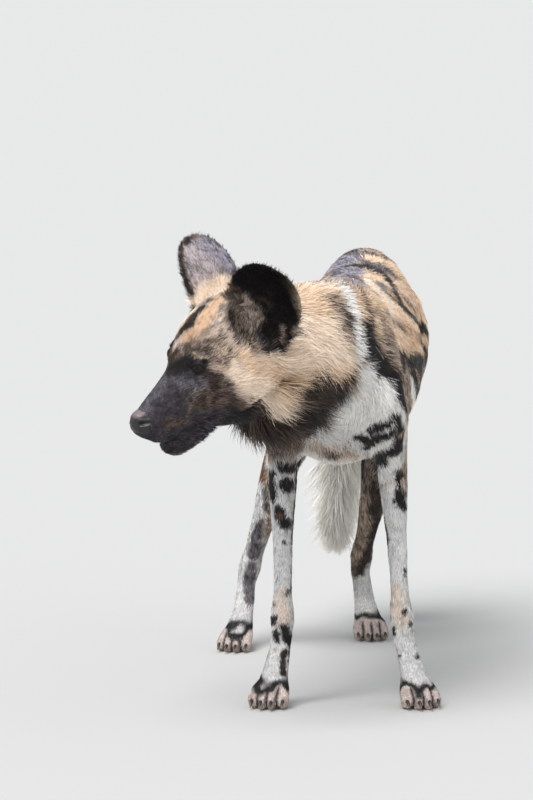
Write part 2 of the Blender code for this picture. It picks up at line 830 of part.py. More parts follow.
def prism(outline, low, high, axis, collection):
    """A block with this outline, reaching from low to high along X or Y."""
    bm = bmesh.new()
    if axis == "Y":
        corners = [bm.verts.new((a, low, b)) for a, b in outline]
        reach = Vector((0, high - low, 0))
    else:
        corners = [bm.verts.new((low, a, b)) for a, b in outline]
        reach = Vector((high - low, 0, 0))
    face = bm.faces.new(corners)
    pulled = bmesh.ops.extrude_face_region(bm, geom=[face])["geom"]
    moved = [item for item in pulled if isinstance(item, bmesh.types.BMVert)]
    bmesh.ops.translate(bm, verts=moved, vec=reach)
    return as_cutter(from_bmesh("cutter", bm, collection))


def block(frame, low, high, collection):
    """A block in a frame's own axes."""
    bm = bmesh.new()
    bmesh.ops.create_cube(bm, size=1.0)
    low, high = Vector(low), Vector(high)
    shape = frame @ Matrix.Translation((low + high) / 2) @ Matrix.Diagonal((*(high - low), 1.0))
    bmesh.ops.transform(bm, matrix=shape, verts=bm.verts)
    return as_cutter(from_bmesh("cutter", bm, collection))


def as_cutter(obj):
    obj.hide_render = True
    obj.display_type = "WIRE"
    return obj


def combined(obj, others, operation, helpers):
    """The object after one Boolean with all of the others, which are then removed."""
    bunch = bpy.data.collections.new("pieces")
    helpers.children.link(bunch)
    for piece in others:
        helpers.objects.unlink(piece)
        bunch.objects.link(piece)
    settings = {"operation": operation, "operand_type": "COLLECTION", "collection": bunch}
    applied(obj, ("BOOLEAN", {**settings, "solver": "EXACT"}))
    for piece in list(bunch.objects):
        bpy.data.objects.remove(piece)
    bpy.data.collections.remove(bunch)
    return obj


def grown(obj, by, collection):
    """A copy of the object with its surface moved outwards."""
    copy = as_cutter(link("cutter", obj.data.copy(), collection))
    return applied(copy, ("DISPLACE", {"strength": by, "mid_level": 0.0, "direction": "NORMAL"}))


def mended(bm):
    """Closes the few small spots where a Boolean leaves an edge without its two faces."""
    for _ in range(MEND_ROUNDS):
        bad = {vertex for edge in bm.edges if len(edge.link_faces) != 2 for vertex in edge.verts}
        if not bad:
            return
        bmesh.ops.delete(bm, geom=list(bad), context="VERTS")
        rims = [edge for edge in bm.edges if edge.is_boundary]
        bmesh.ops.holes_fill(bm, edges=rims, sides=0)
        wide = [face for face in bm.faces if len(face.verts) > 3]
        bmesh.ops.triangulate(bm, faces=wide)
        bmesh.ops.recalc_face_normals(bm, faces=bm.faces)


def largest_only(obj):
    """Keeps the object's largest closed surface and drops any scrap."""
    bm = bmesh.new()
    bm.from_mesh(obj.data)
    bmesh.ops.remove_doubles(bm, verts=bm.verts, dist=MERGE)
    mended(bm)
    left = set(bm.verts)
    shells = []
    while left:
        shell, edge = set(), [next(iter(left))]
        while edge:
            vertex = edge.pop()
            if vertex in shell:
                continue
            shell.add(vertex)
            edge += [e.other_vert(vertex) for e in vertex.link_edges]
        left -= shell
        shells.append(shell)
    shells.sort(key=len)
    for shell in shells[:-1]:
        bmesh.ops.delete(bm, geom=list(shell), context="VERTS")
    bm.to_mesh(obj.data)
    bm.free()
    return obj


def parted(whole, name, cutter_with, nodes, helpers):
    """Takes a cutter's share of the whole as a new node, and leaves a thin gap around it.

    cutter_with(gap) makes the cutter, moved back by the gap for the share that is cut away.
    """
    taken = link(name, whole.data.copy(), nodes)
    combined(taken, [cutter_with(0.0)], "INTERSECT", helpers)
    combined(whole, [cutter_with(GAP)], "DIFFERENCE", helpers)
    return largest_only(taken)


# The plane that parts a leg from the trunk: its height at the middle and its slope outwards,
# the middle's x there and at the floor, and how far to the front and back the leg reaches
FORE_CUT = {"height": 0.335, "slope": 0.55, "middle": (0.0, 0.0), "reach": (-0.14, 0.095)}
HIND_CUT = {"height": 0.375, "slope": 0.45, "middle": (0.040, -0.035), "reach": (0.25, 0.72)}
LEG_CUT_WIDTH = 0.30
UNDER_FLOOR = -0.05


def leg_cutter(side, cut, helpers):
    """A block under a slanting plane, from a line that runs down between the legs outwards."""
    middle, foot_middle = cut["middle"]

    def cutter_with(gap):
        top = cut["height"] + gap
        outer = middle + side * LEG_CUT_WIDTH
        outline = (
            (foot_middle, UNDER_FLOOR),
            (outer, UNDER_FLOOR),
            (outer, top + cut["slope"] * LEG_CUT_WIDTH),
            (middle, top),
        )
        return prism(outline, *cut["reach"], "Y", helpers)

    return cutter_with


def facing(origin, direction, side):
    """A frame at origin whose +Z is the direction, and whose +X is as near side as it can be."""
    up = Vector(direction).normalized()
    back = up.cross(Vector(side)).normalized()
    across = back.cross(up).normalized()
    turn = Matrix((across, back, up)).transposed().to_4x4()
    return Matrix.Translation(Vector(origin)) @ turn


def plane_cutter(frame, reach, helpers):
    """Everything on the +Z side of a frame's plane, out to the reach."""

    def cutter_with(gap):
        return block(frame, (-reach, -reach, -gap), (reach, reach, reach * 2), helpers)

    return cutter_with


def tail_cutter(helpers):
    """The block behind the rump that holds the tail."""

    def cutter_with(gap):
        outline = (
            (0.628 - gap, 0.640),
            (0.760, 0.640),
            (0.760, 0.060),
            (0.650 - gap, 0.060),
            (0.650 - gap, 0.500),
        )
        return prism(outline, -0.10, 0.16, "X", helpers)

    return cutter_with


HEAD_CUT = facing((0, 0.030, 0), (0, -1, 0.26), (1, 0, 0))
NECK_CUT = facing((-0.028, -0.080, 0.535), (-0.40, -0.90, 0.16), (1, 0, 0))
CUT_REACH = 0.30


def body_share(spot):
    """How much of the body's form smoothing keeps: most on the paws, then legs and head."""
    leg = 0.72 * share_between(spot.z, 0.400, 0.320)
    paw = share_between(spot.z, 0.060, 0.030)
    near_head = 0.0
    if spot.y < 0:
        near_head = 0.57 * share_between((head_frame().inverted() @ spot).y, 0.110, 0.050)
    return max(leg, paw, near_head)


def face_share(spot):
    """How much of the head's form smoothing keeps: more and more towards the nose."""
    return min(0.85, share_between((head_frame().inverted() @ spot).y, -0.10, -0.17))


def finish_head(head, nodes, helpers):
    """Lids, sockets, the line of the mouth and nostrils, then the eyes that fill the sockets."""
    home = head_frame()
    eyes = {}
    details = []
    cuts = [mouth_line(head, helpers)]
    for side in (LEFT, RIGHT):
        centre = eye_centre(head, side)
        details += [lid(centre, side, UPPER_LID, helpers), lid(centre, side, LOWER_LID, helpers)]
        cuts.append(mass(centre, (EYE_RADIUS + GAP,) * 3, helpers, detail=3))
        cuts += nostril(side, helpers)
        (x, y, z), radii = EAR_BOWL
        bowl = mass((x * side, y, z), radii, helpers, detail=2)
        bowl.data.transform(home.inverted() @ ear_frame(side))
        cuts.append(bowl)
        eye = mass(centre, (EYE_RADIUS,) * 3, nodes, detail=2)
        eye.name = "eye_left" if side == LEFT else "eye_right"
        eye.data.transform(home)
        eyes[side] = eye
    for piece in details + cuts:
        piece.data.transform(home)
    combined(head, details, "UNION", helpers)
    combined(head, cuts, "DIFFERENCE", helpers)
    return eyes


def coloured(nodes):
    """Gives each node its material, shaded smooth but for the parting cuts."""
    made = {name: material(name) for name in SURFACES}
    for obj in nodes:
        obj.data.materials.clear()
        obj.data.materials.append(made[SURFACE_OF[obj.name]])
        obj.data.shade_smooth()
        obj.data.set_sharp_from_angle(angle=SHARP)


def settled(nodes):
    """Moves every node so that the box around them all stands centred on the origin."""
    corners = [v.co for obj in nodes for v in obj.data.vertices]
    low = [min(c[i] for c in corners) for i in range(3)]
    high = [max(c[i] for c in corners) for i in range(3)]
    shift = Vector((-(low[0] + high[0]) / 2, -(low[1] + high[1]) / 2, 0.0))
    for obj in nodes:
        obj.data.transform(Matrix.Translation(shift))
    return shift


def main():
    clear_scene()
    scene = bpy.context.scene.collection
    dog = bpy.data.collections.new("wild_dog")
    helpers = bpy.data.collections.new("cutters")
    helpers.hide_render = True
    scene.children.link(dog)
    scene.children.link(helpers)

    forms = trunk_forms(helpers) + leg_forms(helpers) + neck_forms(helpers)
    forms += tail_forms(helpers) + head_forms(helpers)
    body = fused("torso", forms, dog, BODY_VOXEL, BODY_SMOOTH, body_share, BODY_TRIANGLES)
    floor_block = block(Matrix(), (-0.5, -0.5, -0.1), (0.5, 1.0, 0.0), helpers)
    combined(body, [floor_block], "DIFFERENCE", helpers)

    forms = head_forms(helpers) + neck_forms(helpers)
    head = fused("head", forms, dog, HEAD_VOXEL, HEAD_SMOOTH, face_share, HEAD_TRIANGLES)
    head_side = plane_cutter(head_frame() @ HEAD_CUT, CUT_REACH, helpers)
    combined(head, [head_side(0.0)], "INTERSECT", helpers)
    combined(body, [head_side(GAP)], "DIFFERENCE", helpers)
    eyes = finish_head(head, dog, helpers)

    neck = parted(body, "neck", plane_cutter(NECK_CUT, CUT_REACH, helpers), dog, helpers)
    tail = parted(body, "tail", tail_cutter(helpers), dog, helpers)
    legs = []
    for side, name in ((LEFT, "left"), (RIGHT, "right")):
        for end, cut, toes, size in (
            ("leg_front_", FORE_CUT, FORE_TOES, 1.0),
            ("leg_hind_", HIND_CUT, HIND_TOES, HIND_PAW_SHARE),
        ):
            leg = parted(body, end + name, leg_cutter(side, cut, helpers), dog, helpers)
            combined(leg, claw_forms(*toes[side], size, helpers), "UNION", helpers)
            legs.append(largest_only(leg))
    largest_only(body)

    ears = []
    for side, name in ((LEFT, "ear_left"), (RIGHT, "ear_right")):
        ear = ear_surface(side, dog)
        ear.name = name
        ear.data.transform(ear_frame(side))
        near = [grown(head, GAP, helpers), grown(neck, GAP, helpers)]
        combined(ear, near, "DIFFERENCE", helpers)
        ears.append(largest_only(ear))
    largest_only(head)

    with_locks(tail, brush_locks(helpers), [body, *legs], helpers)
    fringe = ruff_locks(head, jaw_rows(), JAW_ROUND, JAW_SPREAD, 4, helpers)
    with_locks(head, fringe, [body, neck, *ears], helpers)
    ruff = ruff_locks(neck, neck_rows(), NECK_ROUND, NECK_SPREAD, 8, helpers)
    with_locks(neck, ruff, [body, head, *ears, *legs], helpers)
    coloured(dog.objects)
    return settled(list(dog.objects))


SHIFT = main()
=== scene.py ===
"""The looks of a life-size still model of an African wild dog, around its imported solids.

One skin takes the place of the solids of flesh, and tufts of hair cover it, lying as the animal's do.
Skin and hair are painted with the same blotches.
"""

import math

import bmesh
import bpy
import numpy as np
from mathutils import Matrix, Vector
from mathutils.bvhtree import BVHTree
from mathutils.kdtree import KDTree


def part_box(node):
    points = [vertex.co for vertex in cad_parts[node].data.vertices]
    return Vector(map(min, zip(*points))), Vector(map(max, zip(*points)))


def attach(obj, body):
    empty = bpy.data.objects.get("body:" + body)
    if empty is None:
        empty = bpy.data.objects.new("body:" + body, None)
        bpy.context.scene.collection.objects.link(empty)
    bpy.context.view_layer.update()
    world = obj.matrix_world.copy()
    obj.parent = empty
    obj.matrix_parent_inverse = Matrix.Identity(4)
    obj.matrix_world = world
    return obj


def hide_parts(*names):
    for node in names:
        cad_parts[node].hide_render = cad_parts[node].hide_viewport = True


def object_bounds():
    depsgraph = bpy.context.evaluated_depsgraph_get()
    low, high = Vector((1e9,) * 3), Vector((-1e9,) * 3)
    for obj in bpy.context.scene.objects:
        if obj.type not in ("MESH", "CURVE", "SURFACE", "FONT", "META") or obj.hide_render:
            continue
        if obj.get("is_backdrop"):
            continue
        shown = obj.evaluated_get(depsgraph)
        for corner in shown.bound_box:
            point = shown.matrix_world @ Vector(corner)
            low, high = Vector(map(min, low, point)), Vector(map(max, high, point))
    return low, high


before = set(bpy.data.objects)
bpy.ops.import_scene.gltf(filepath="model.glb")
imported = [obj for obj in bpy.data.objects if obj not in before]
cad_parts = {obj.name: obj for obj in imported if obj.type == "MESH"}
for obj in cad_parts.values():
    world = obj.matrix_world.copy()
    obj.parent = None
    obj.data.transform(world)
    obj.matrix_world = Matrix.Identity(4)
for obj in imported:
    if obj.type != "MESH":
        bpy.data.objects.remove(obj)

CAD_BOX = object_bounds()

# The animal's own frame
# Places below are written as the animal stands, with its chest over the origin and its nose to -Y.
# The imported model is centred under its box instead, and its left eye tells how far it was moved.
LEFT_EYE = Vector((-0.20817, -0.29522, 0.55384))
MOVED = sum(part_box("eye_left"), Vector()) / 2 - LEFT_EYE
HEAD_TURN = [math.radians(a) for a in (-57, 27.8, 11.3)]
HEAD = (
    Matrix.Translation(Vector((-0.129, -0.203, 0.582)) + MOVED)
    @ Matrix.Rotation(HEAD_TURN[0], 4, "Z")
    @ Matrix.Rotation(HEAD_TURN[1], 4, "X")
    @ Matrix.Rotation(HEAD_TURN[2], 4, "Y")
)


def ear_frame(side, out, back, turn):
    """An ear's own frame in the world: up along the ear, its cup open to -Y."""
    return (
        HEAD
        @ Matrix.Translation((0.040 * side, -0.001, 0.045))
        @ Matrix.Rotation(math.radians(out) * side, 4, "Y")
        @ Matrix.Rotation(-math.radians(back), 4, "X")
        @ Matrix.Rotation(math.radians(turn) * side, 4, "Z")
    )


EARS = {1: ear_frame(1, 33, 5, 18), -1: ear_frame(-1, 51, 20, 61)}
EYE_OUT, EYE_UP = math.radians(44), math.radians(12)
EYE_RADIUS = 0.0115
EYES = {1: sum(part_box("eye_left"), Vector()) / 2, -1: sum(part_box("eye_right"), Vector()) / 2}


def eye_frame(side):
    """The eye's own axes in the world: across, up and the way it looks."""
    look = Vector((math.sin(EYE_OUT) * side * math.cos(EYE_UP), -math.cos(EYE_OUT) * math.cos(EYE_UP), math.sin(EYE_UP)))
    look = HEAD.to_3x3() @ look
    across = look.cross(HEAD.to_3x3() @ Vector((0, 0, 1))).normalized()
    return across, across.cross(look).normalized(), look


PAWS = (
    ((0.119, -0.013, 0), 14, 1.0), ((-0.104, -0.013, 0), -12, 1.0),
    ((0.058, 0.562, 0), 6, 0.93), ((-0.158, 0.462, 0), -16, 0.93),
)
TOE_APART = 0.0148


def paw_frame(spot, turn, size):
    """A paw's own frame in the world: on the floor, toes towards -Y."""
    turned = Matrix.Translation(Vector(spot) + MOVED) @ Matrix.Rotation(math.radians(turn), 4, "Z")
    return turned @ Matrix.Scale(size, 4)


# The camera
# A long lens from a little above the animal's head, seven and a half metres in front of it.
PHOTO_WIDTH, PHOTO_HEIGHT = 533, 800
AIM = Vector((-0.110, 0.0, 0.465)) + MOVED
CAMERA_RAISED = math.radians(7.5)
CAMERA_AWAY = 7.5
LENS_PIXELS = 5000
SENSOR = 36.0

camera = bpy.data.objects.new("camera", bpy.data.cameras.new("camera"))
bpy.context.scene.collection.objects.link(camera)
bpy.context.scene.camera = camera
camera.data.sensor_width = SENSOR
camera.data.lens = SENSOR * LENS_PIXELS / PHOTO_HEIGHT
camera.data.clip_end = 60
BACK = Vector((0, -math.cos(CAMERA_RAISED), math.sin(CAMERA_RAISED)))
camera.location = AIM + BACK * CAMERA_AWAY
camera.rotation_euler = (-BACK).to_track_quat("-Z", "Y").to_euler()


def sight_line(column, row):
    """The way from the camera through a pixel of the photograph."""
    forward, right = -BACK, Vector((1, 0, 0))
    up = right.cross(forward)
    across = (column - PHOTO_WIDTH / 2) / LENS_PIXELS
    down = (row - PHOTO_HEIGHT / 2) / LENS_PIXELS
    return (forward + right * across - up * down).normalized()


# The skin
# One closed hide over trunk, neck, head, ears, legs and tail, without a seam where the solids are parted.
# It lies inside the solids by the depth of the coat there. The ruff's and the brush's locks aren't in it.
FLESH = [
    "torso", "neck", "head", "ear_left", "ear_right",
    "leg_front_left", "leg_front_right", "leg_hind_left", "leg_hind_right",
]
SKIN_VOXEL = 0.0026
SKIN_TRIANGLES = 190000
SWELL = 0.0003
EAR_SWELL = 0.0008
NECK = (
    (0.004, 0.062, 0.520, 0.086, 0.120), (0, -0.010, 0.527, 0.083, 0.124),
    (-0.022, -0.075, 0.541, 0.080, 0.115), (-0.062, -0.128, 0.552, 0.077, 0.104),
    (-0.100, -0.168, 0.560, 0.074, 0.092), (-0.128, -0.196, 0.568, 0.069, 0.080),
)
THROAT_PLACE, THROAT_SIZE = Vector((-0.100, -0.140, 0.480)), (0.048, 0.056, 0.045)
JAW_CUT = Vector((0, -0.085, -0.058)), Vector((0, 0.34, -1.0))
JAW = ((0, -0.135, -0.046, 0.027, 0.026), (0, -0.080, -0.048, 0.036, 0.044), (0, -0.020, -0.046, 0.044, 0.058))
TAIL = (
    (0.047, 0.600, 0.572, 0.024), (0.047, 0.640, 0.560, 0.020), (0.043, 0.662, 0.535, 0.0165),
    (0.032, 0.684, 0.465, 0.0135), (0.022, 0.690, 0.390, 0.0125), (0.017, 0.685, 0.310, 0.0110),
    (0.011, 0.675, 0.235, 0.0085), (0.005, 0.668, 0.170, 0.0040),
)


def new_object(name, mesh):
    made = bpy.data.objects.new(name, mesh)
    bpy.context.scene.collection.objects.link(made)
    return made


def applied(obj, *settings):
    """The object with each modifier, as (type, its values), applied in turn."""
    for kind, values in settings:
        modifier = obj.modifiers.new(kind.title(), kind)
        for key, value in values.items():
            setattr(modifier, key, value)
    graph = bpy.context.evaluated_depsgraph_get()
    mesh = bpy.data.meshes.new_from_object(obj.evaluated_get(graph))
    obj.modifiers.clear()
    obj.data = mesh
    return obj


def points_of(mesh):
    flat = np.empty(len(mesh.vertices) * 3)
    mesh.vertices.foreach_get("co", flat)
    return flat.reshape(-1, 3)


def normals_of(mesh):
    flat = np.empty(len(mesh.vertices) * 3)
    mesh.vertex_normals.foreach_get("vector", flat)
    return flat.reshape(-1, 3)


def move_points(mesh, points):
    mesh.vertices.foreach_set("co", points.ravel())
    mesh.update()


def tube(rows, side=Vector((1, 0, 0)), steps=4, sides=32, place=Matrix.Translation(MOVED)):
    """A closed tube through rows of (x, y, z, half width, half depth), its width along side."""
    rows = [between(rows, k / steps) for k in range((len(rows) - 1) * steps + 1)]
    centres = [Vector(row[:3]) for row in rows]
    bm = bmesh.new()
    rings = []
    for k, row in enumerate(rows):
        along = (centres[min(k + 1, len(centres) - 1)] - centres[max(k - 1, 0)]).normalized()
        deep = along.cross(side).normalized()
        wide = deep.cross(along).normalized()
        ring = []
        for j in range(sides):
            a = math.tau * j / sides
            spot = centres[k] + wide * row[3] * math.cos(a) + deep * row[-1] * math.sin(a)
            ring.append(bm.verts.new(place @ spot))
        rings.append(ring)
    for low, high in zip(rings, rings[1:]):
        for j in range(sides):
            k = (j + 1) % sides
            bm.faces.new((low[j], low[k], high[k], high[j]))
    bm.faces.new(rings[0][::-1])
    bm.faces.new(rings[-1])
    bmesh.ops.recalc_face_normals(bm, faces=bm.faces)
    return bm


def added(whole, part):
    """Put one bmesh into another."""
    mesh = bpy.data.meshes.new("part")
    part.to_mesh(mesh)
    part.free()
    whole.from_mesh(mesh)
    bpy.data.meshes.remove(mesh)


def share_between(value, start, end):
    """How far values have come from start to end, held between 0 and 1 and eased."""
    t = np.clip((value - start) / (end - start), 0, 1)
    return t * t * (3 - 2 * t)


def in_head(points):
    """World points in the head's own frame: -Y to the nose, +X to its left, +Z to the crown."""
    home = np.array(HEAD.inverted())
    return points @ home[:3, :3].T + home[:3, 3]


def segment_distance(points, start, end):
    start, end = np.array(start), np.array(end)
    along = end - start
    t = np.clip((points - start) @ along / max(along @ along, 1e-12), 0, 1)
    return np.linalg.norm(points - (start + t[:, None] * along), axis=1)


def tree_of(points):
    tree = KDTree(len(points))
    for i, point in enumerate(points):
        tree.insert(point, i)
    tree.balance()
    return tree


def smoothed(mesh, weight, rounds, factor=0.5):
    """The mesh's points, each drawn to the middle of its neighbours as far as its weight says."""
    ends = np.empty(len(mesh.edges) * 2, dtype=np.int64)
    mesh.edges.foreach_get("vertices", ends)
    a, b = ends[0::2], ends[1::2]
    points = points_of(mesh)
    count = np.bincount(ends, minlength=len(points))[:, None]
    for _ in range(rounds):
        total = [
            np.bincount(a, points[b, i], len(points)) + np.bincount(b, points[a, i], len(points))
            for i in range(3)
        ]
        middle = np.stack(total, axis=1) / np.maximum(count, 1)
        points = points + (middle - points) * (factor * weight)[:, None]
    move_points(mesh, points)


def between(rows, u):
    """The row at u along the rows, on a smooth curve through them all."""
    k = min(int(u), len(rows) - 2)
    t = u - k
    a, b, c, d = (np.array(rows[min(max(k + i, 0), len(rows) - 1)]) for i in (-1, 0, 1, 2))
    return 0.5 * (2 * b + (c - a) * t + (2 * a - 5 * b + 4 * c - d) * t**2 + (3 * b - a - 3 * c + d) * t**3)


whole = bmesh.new()
ear_spots = []
for name in FLESH:
    if name == "neck":
        continue
    part = bmesh.new()
    part.from_mesh(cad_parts[name].data)
    bmesh.ops.remove_doubles(part, verts=part.verts, dist=0.00001)
    if name == "head":
        spot, facing = HEAD @ JAW_CUT[0], HEAD.to_3x3() @ JAW_CUT[1]
        every = part.verts[:] + part.edges[:] + part.faces[:]
        cut = bmesh.ops.bisect_plane(part, geom=every, plane_co=spot, plane_no=facing, clear_outer=True)
        edges = [item for item in cut["geom_cut"] if isinstance(item, bmesh.types.BMEdge)]
        bmesh.ops.holes_fill(part, edges=edges, sides=0)
    if name.startswith("ear"):
        mesh = bpy.data.meshes.new("ear")
        part.to_mesh(mesh)
        part.free()
        ear = applied(new_object("ear", mesh), ("SUBSURF", {"levels": 2, "render_levels": 2}))
        part = bmesh.new()
        part.from_mesh(ear.data)
        ear_spots.append(points_of(ear.data))
        bpy.data.objects.remove(ear)
    part.normal_update()
    swell = EAR_SWELL if name.startswith("ear") else SWELL
    for vertex in part.verts:
        vertex.co += vertex.normal * swell
    added(whole, part)
added(whole, tube(NECK))
added(whole, tube(TAIL))
added(whole, tube(JAW, place=HEAD))
part = bmesh.new()
bmesh.ops.create_icosphere(part, subdivisions=4, radius=1)
place = Matrix.Translation(THROAT_PLACE + MOVED) @ Matrix.Diagonal((*THROAT_SIZE, 1))
bmesh.ops.transform(part, matrix=place, verts=part.verts)
added(whole, part)
mesh = bpy.data.meshes.new("skin")
whole.to_mesh(mesh)
whole.free()
skin = applied(new_object("skin", mesh), ("REMESH", {"mode": "VOXEL", "voxel_size": SKIN_VOXEL}))

# Only the largest closed surface is kept, without any bubble left inside the flesh
whole = bmesh.new()
whole.from_mesh(skin.data)
left = set(whole.verts)
groups = []
while left:
    start = left.pop()
    seen, front = {start}, [start]
    while front:
        ahead = {edge.other_vert(vertex) for vertex in front for edge in vertex.link_edges} - seen
        seen |= ahead
        front = list(ahead)
    left -= seen
    groups.append(seen)
groups.sort(key=len)
bmesh.ops.delete(whole, geom=[vertex for group in groups[:-1] for vertex in group], context="VERTS")
whole.to_mesh(skin.data)
whole.free()
print("bubbles", len(groups) - 1)

EAR_REACH = 0.020
EAR_TREE = tree_of(np.concatenate(ear_spots))
EAR_LOW = np.concatenate(ear_spots).min(axis=0) - EAR_REACH
EAR_HIGH = np.concatenate(ear_spots).max(axis=0) + EAR_REACH


def ear_distances(points):
    """How far each point is from the ears' surfaces, at most their reach."""
    inside = np.all((points > EAR_LOW) & (points < EAR_HIGH), axis=1)
    far = np.full(len(points), EAR_REACH)
    far[inside] = [min(EAR_TREE.find(point)[2], EAR_REACH) for point in points[inside]]
    return far


RUFF_FROM, RUFF_TO = Vector((-0.022, -0.075, 0.520)) + MOVED, Vector((-0.110, -0.180, 0.520)) + MOVED
spots = points_of(skin.data)
local = in_head(spots)
near_ruff = segment_distance(spots, RUFF_FROM, RUFF_TO)
ruff = share_between(near_ruff, 0.160, 0.125)
ruff *= share_between(local[:, 1], -0.100, -0.070)
ruff *= share_between(ear_distances(spots), 0.008, 0.018)
smoothed(skin.data, ruff, 80)
foot = share_between(spots[:, 2], 0.050, 0.040)
smoothed(skin.data, 1 - 0.6 * foot, 6)

# The face is cut finer than the rest, and the whole is then thinned where it's flat
FACE_FROM = -0.085
whole = bmesh.new()
whole.from_mesh(skin.data)
whole.faces.ensure_lookup_table()
spots = np.array([face.calc_center_median() for face in whole.faces])
fine = np.nonzero((in_head(spots)[:, 1] < FACE_FROM) | (spots[:, 2] < 0.042))[0]
chosen = {edge for i in fine for edge in whole.faces[i].edges}
bmesh.ops.subdivide_edges(whole, edges=list(chosen), cuts=1, use_grid_fill=True)
bmesh.ops.triangulate(whole, faces=whole.faces)
whole.to_mesh(skin.data)
whole.free()
smoothed(skin.data, np.ones(len(skin.data.vertices)), 2)
print("fine skin triangles", len(skin.data.polygons))

spots = points_of(skin.data)
local = in_head(spots)
flat = spots - np.array(MOVED)
near_ruff = segment_distance(spots, RUFF_FROM, RUFF_TO)
inset = np.full(len(spots), 0.0035)
inset += 0.003 * share_between(near_ruff, 0.150, 0.100)
share = share_between(local[:, 1], 0.000, -0.070) * share_between(flat[:, 1], -0.10, -0.16)
inset += (0.0010 - inset) * share
inset += (0.0010 - inset) * share_between(flat[:, 2], 0.40, 0.30)
inset += (0.0013 - inset) * share_between(ear_distances(spots), 0.012, 0.006)
inset *= 1 - share_between(flat[:, 1], 0.640, 0.655) * (flat[:, 2] > 0.1)
move_points(skin.data, spots - normals_of(skin.data) * inset[:, None])

# The face: the balls of the eyes stand free, nostrils, lips and brows
MOUTH = (
    (0.000, -0.2240, -0.0385), (0.016, -0.2120, -0.0420), (0.024, -0.1980, -0.0460),
    (0.029, -0.1780, -0.0495), (0.034, -0.1570, -0.0525), (0.038, -0.1370, -0.0555),
)
NOSTRIL = (0.0105, -0.2270, -0.0020), (0.0165, -0.2170, -0.0055)


def line_distance(points, line):
    return np.min([segment_distance(points, a, b) for a, b in zip(line, line[1:])], axis=0)


spots = points_of(skin.data)
normals = normals_of(skin.data)
local = in_head(spots)
near_face = np.nonzero(local[:, 1] < -0.08)[0]
folded = local[near_face]
folded[:, 0] = np.abs(folded[:, 0])
to_mouth = line_distance(folded, MOUTH)
push = -0.0016 * np.exp(-((to_mouth / 0.0016) ** 2)) + 0.0009 * np.exp(-(((to_mouth - 0.0050) / 0.0022) ** 2))
to_nostril = line_distance(folded, NOSTRIL)
push += -0.0050 * np.exp(-((to_nostril / 0.0026) ** 2)) + 0.0012 * np.exp(-(((to_nostril - 0.0050) / 0.0016) ** 2))
to_brow = line_distance(folded, ((0.026, -0.132, 0.046), (0.036, -0.118, 0.050), (0.044, -0.100, 0.046)))
push += 0.0026 * np.exp(-((to_brow / 0.0065) ** 2))
spots[near_face] += normals[near_face] * push[:, None]


def between_toes(points):
    """How far each point lies in one of the folds between toes, from 0 to 1."""
    fold = np.zeros(len(points))
    low = np.nonzero(points[:, 2] < 0.045)[0]
    for spot, turn, size in PAWS:
        home = np.array(paw_frame(spot, turn, size).inverted())
        own = points[low] @ home[:3, :3].T + home[:3, 3]
        share = share_between(own[:, 1], 0.004, -0.010) * share_between(own[:, 2], 0.036, 0.026)
        share *= (np.abs(own[:, 0]) < 0.04) * (np.abs(own[:, 1]) < 0.06)
        for n in (-1, 0, 1):
            fold[low] = np.maximum(fold[low], share * np.exp(-(((own[:, 0] - n * TOE_APART) / 0.0020) ** 2)))
    return fold


spots -= normals * 0.0028 * between_toes(spots)[:, None]
for side in EYES:
    across, up, look = eye_frame(side)
    away = spots - np.array(EYES[side])
    far = np.linalg.norm(away, axis=1)
    facing = away @ np.array(look) / np.maximum(far, 1e-9)
    inside = (far < EYE_RADIUS + 0.0035) & (facing > 0.55)
    spots[inside] = np.array(EYES[side]) + away[inside] * ((EYE_RADIUS - 0.002) / far[inside])[:, None]
move_points(skin.data, spots)
applied(skin, ("DECIMATE", {"ratio": SKIN_TRIANGLES / len(skin.data.polygons)}))
smoothed(skin.data, np.ones(len(skin.data.vertices)), 1, 0.3)
skin.data.shade_smooth()
print("skin triangles", len(skin.data.polygons))

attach(skin, "root")
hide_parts(*FLESH, "tail")

# The blotches
# Each is a line of spots with a radius, in order, so that later ones cover earlier ones. Those seen in
# the photograph lie where its pixels meet the skin; those on the far side are written as places.
# A coat colour is two kinds of hair, dark and pale, and the share of the pale ones.
BLACK = (0.007, 0.006, 0.007, 0.030, 0.024, 0.024, 0.30)
SOOT = (0.012, 0.009, 0.009, 0.080, 0.050, 0.040, 0.40)
UMBER = (0.028, 0.018, 0.016, 0.190, 0.125, 0.095, 0.45)
SLATE = (0.035, 0.032, 0.040, 0.220, 0.195, 0.210, 0.52)
LILAC = (0.060, 0.056, 0.074, 0.420, 0.385, 0.450, 0.58)
FAWN = (0.400, 0.335, 0.285, 0.760, 0.640, 0.550, 0.65)
AGOUTI = (0.045, 0.032, 0.027, 0.620, 0.470, 0.360, 0.55)
GRIZZLE = (0.110, 0.085, 0.078, 0.720, 0.580, 0.480, 0.62)
TAN = (0.400, 0.235, 0.130, 0.800, 0.550, 0.360, 0.62)
RUST = (0.060, 0.028, 0.018, 0.250, 0.125, 0.075, 0.50)
SAND = (0.600, 0.410, 0.260, 0.930, 0.710, 0.520, 0.66)
CREAM = (0.720, 0.540, 0.400, 0.980, 0.820, 0.670, 0.72)
WHITE = (0.600, 0.570, 0.540, 0.920, 0.900, 0.875, 0.80)
FROST = (0.380, 0.368, 0.360, 0.750, 0.738, 0.730, 0.68)
MAUVE = (0.095, 0.080, 0.085, 0.560, 0.480, 0.490, 0.60)
BRACKEN = (0.035, 0.026, 0.022, 0.380, 0.290, 0.230, 0.45)
INK = (0.011, 0.009, 0.012, 0.085, 0.068, 0.084, 0.45)
IVORY = (0.860, 0.820, 0.740, 0.990, 0.970, 0.920, 0.85)
# A blue-grey mix of dark and pale hair, used only as painted sheen on black fur: under the eyes and along the top
# of the muzzle.
BLUE_SHEEN = (0.026, 0.024, 0.031, 0.150, 0.135, 0.160, 0.52)
PINK = (0.380, 0.270, 0.240, 0.780, 0.670, 0.620, 0.60)

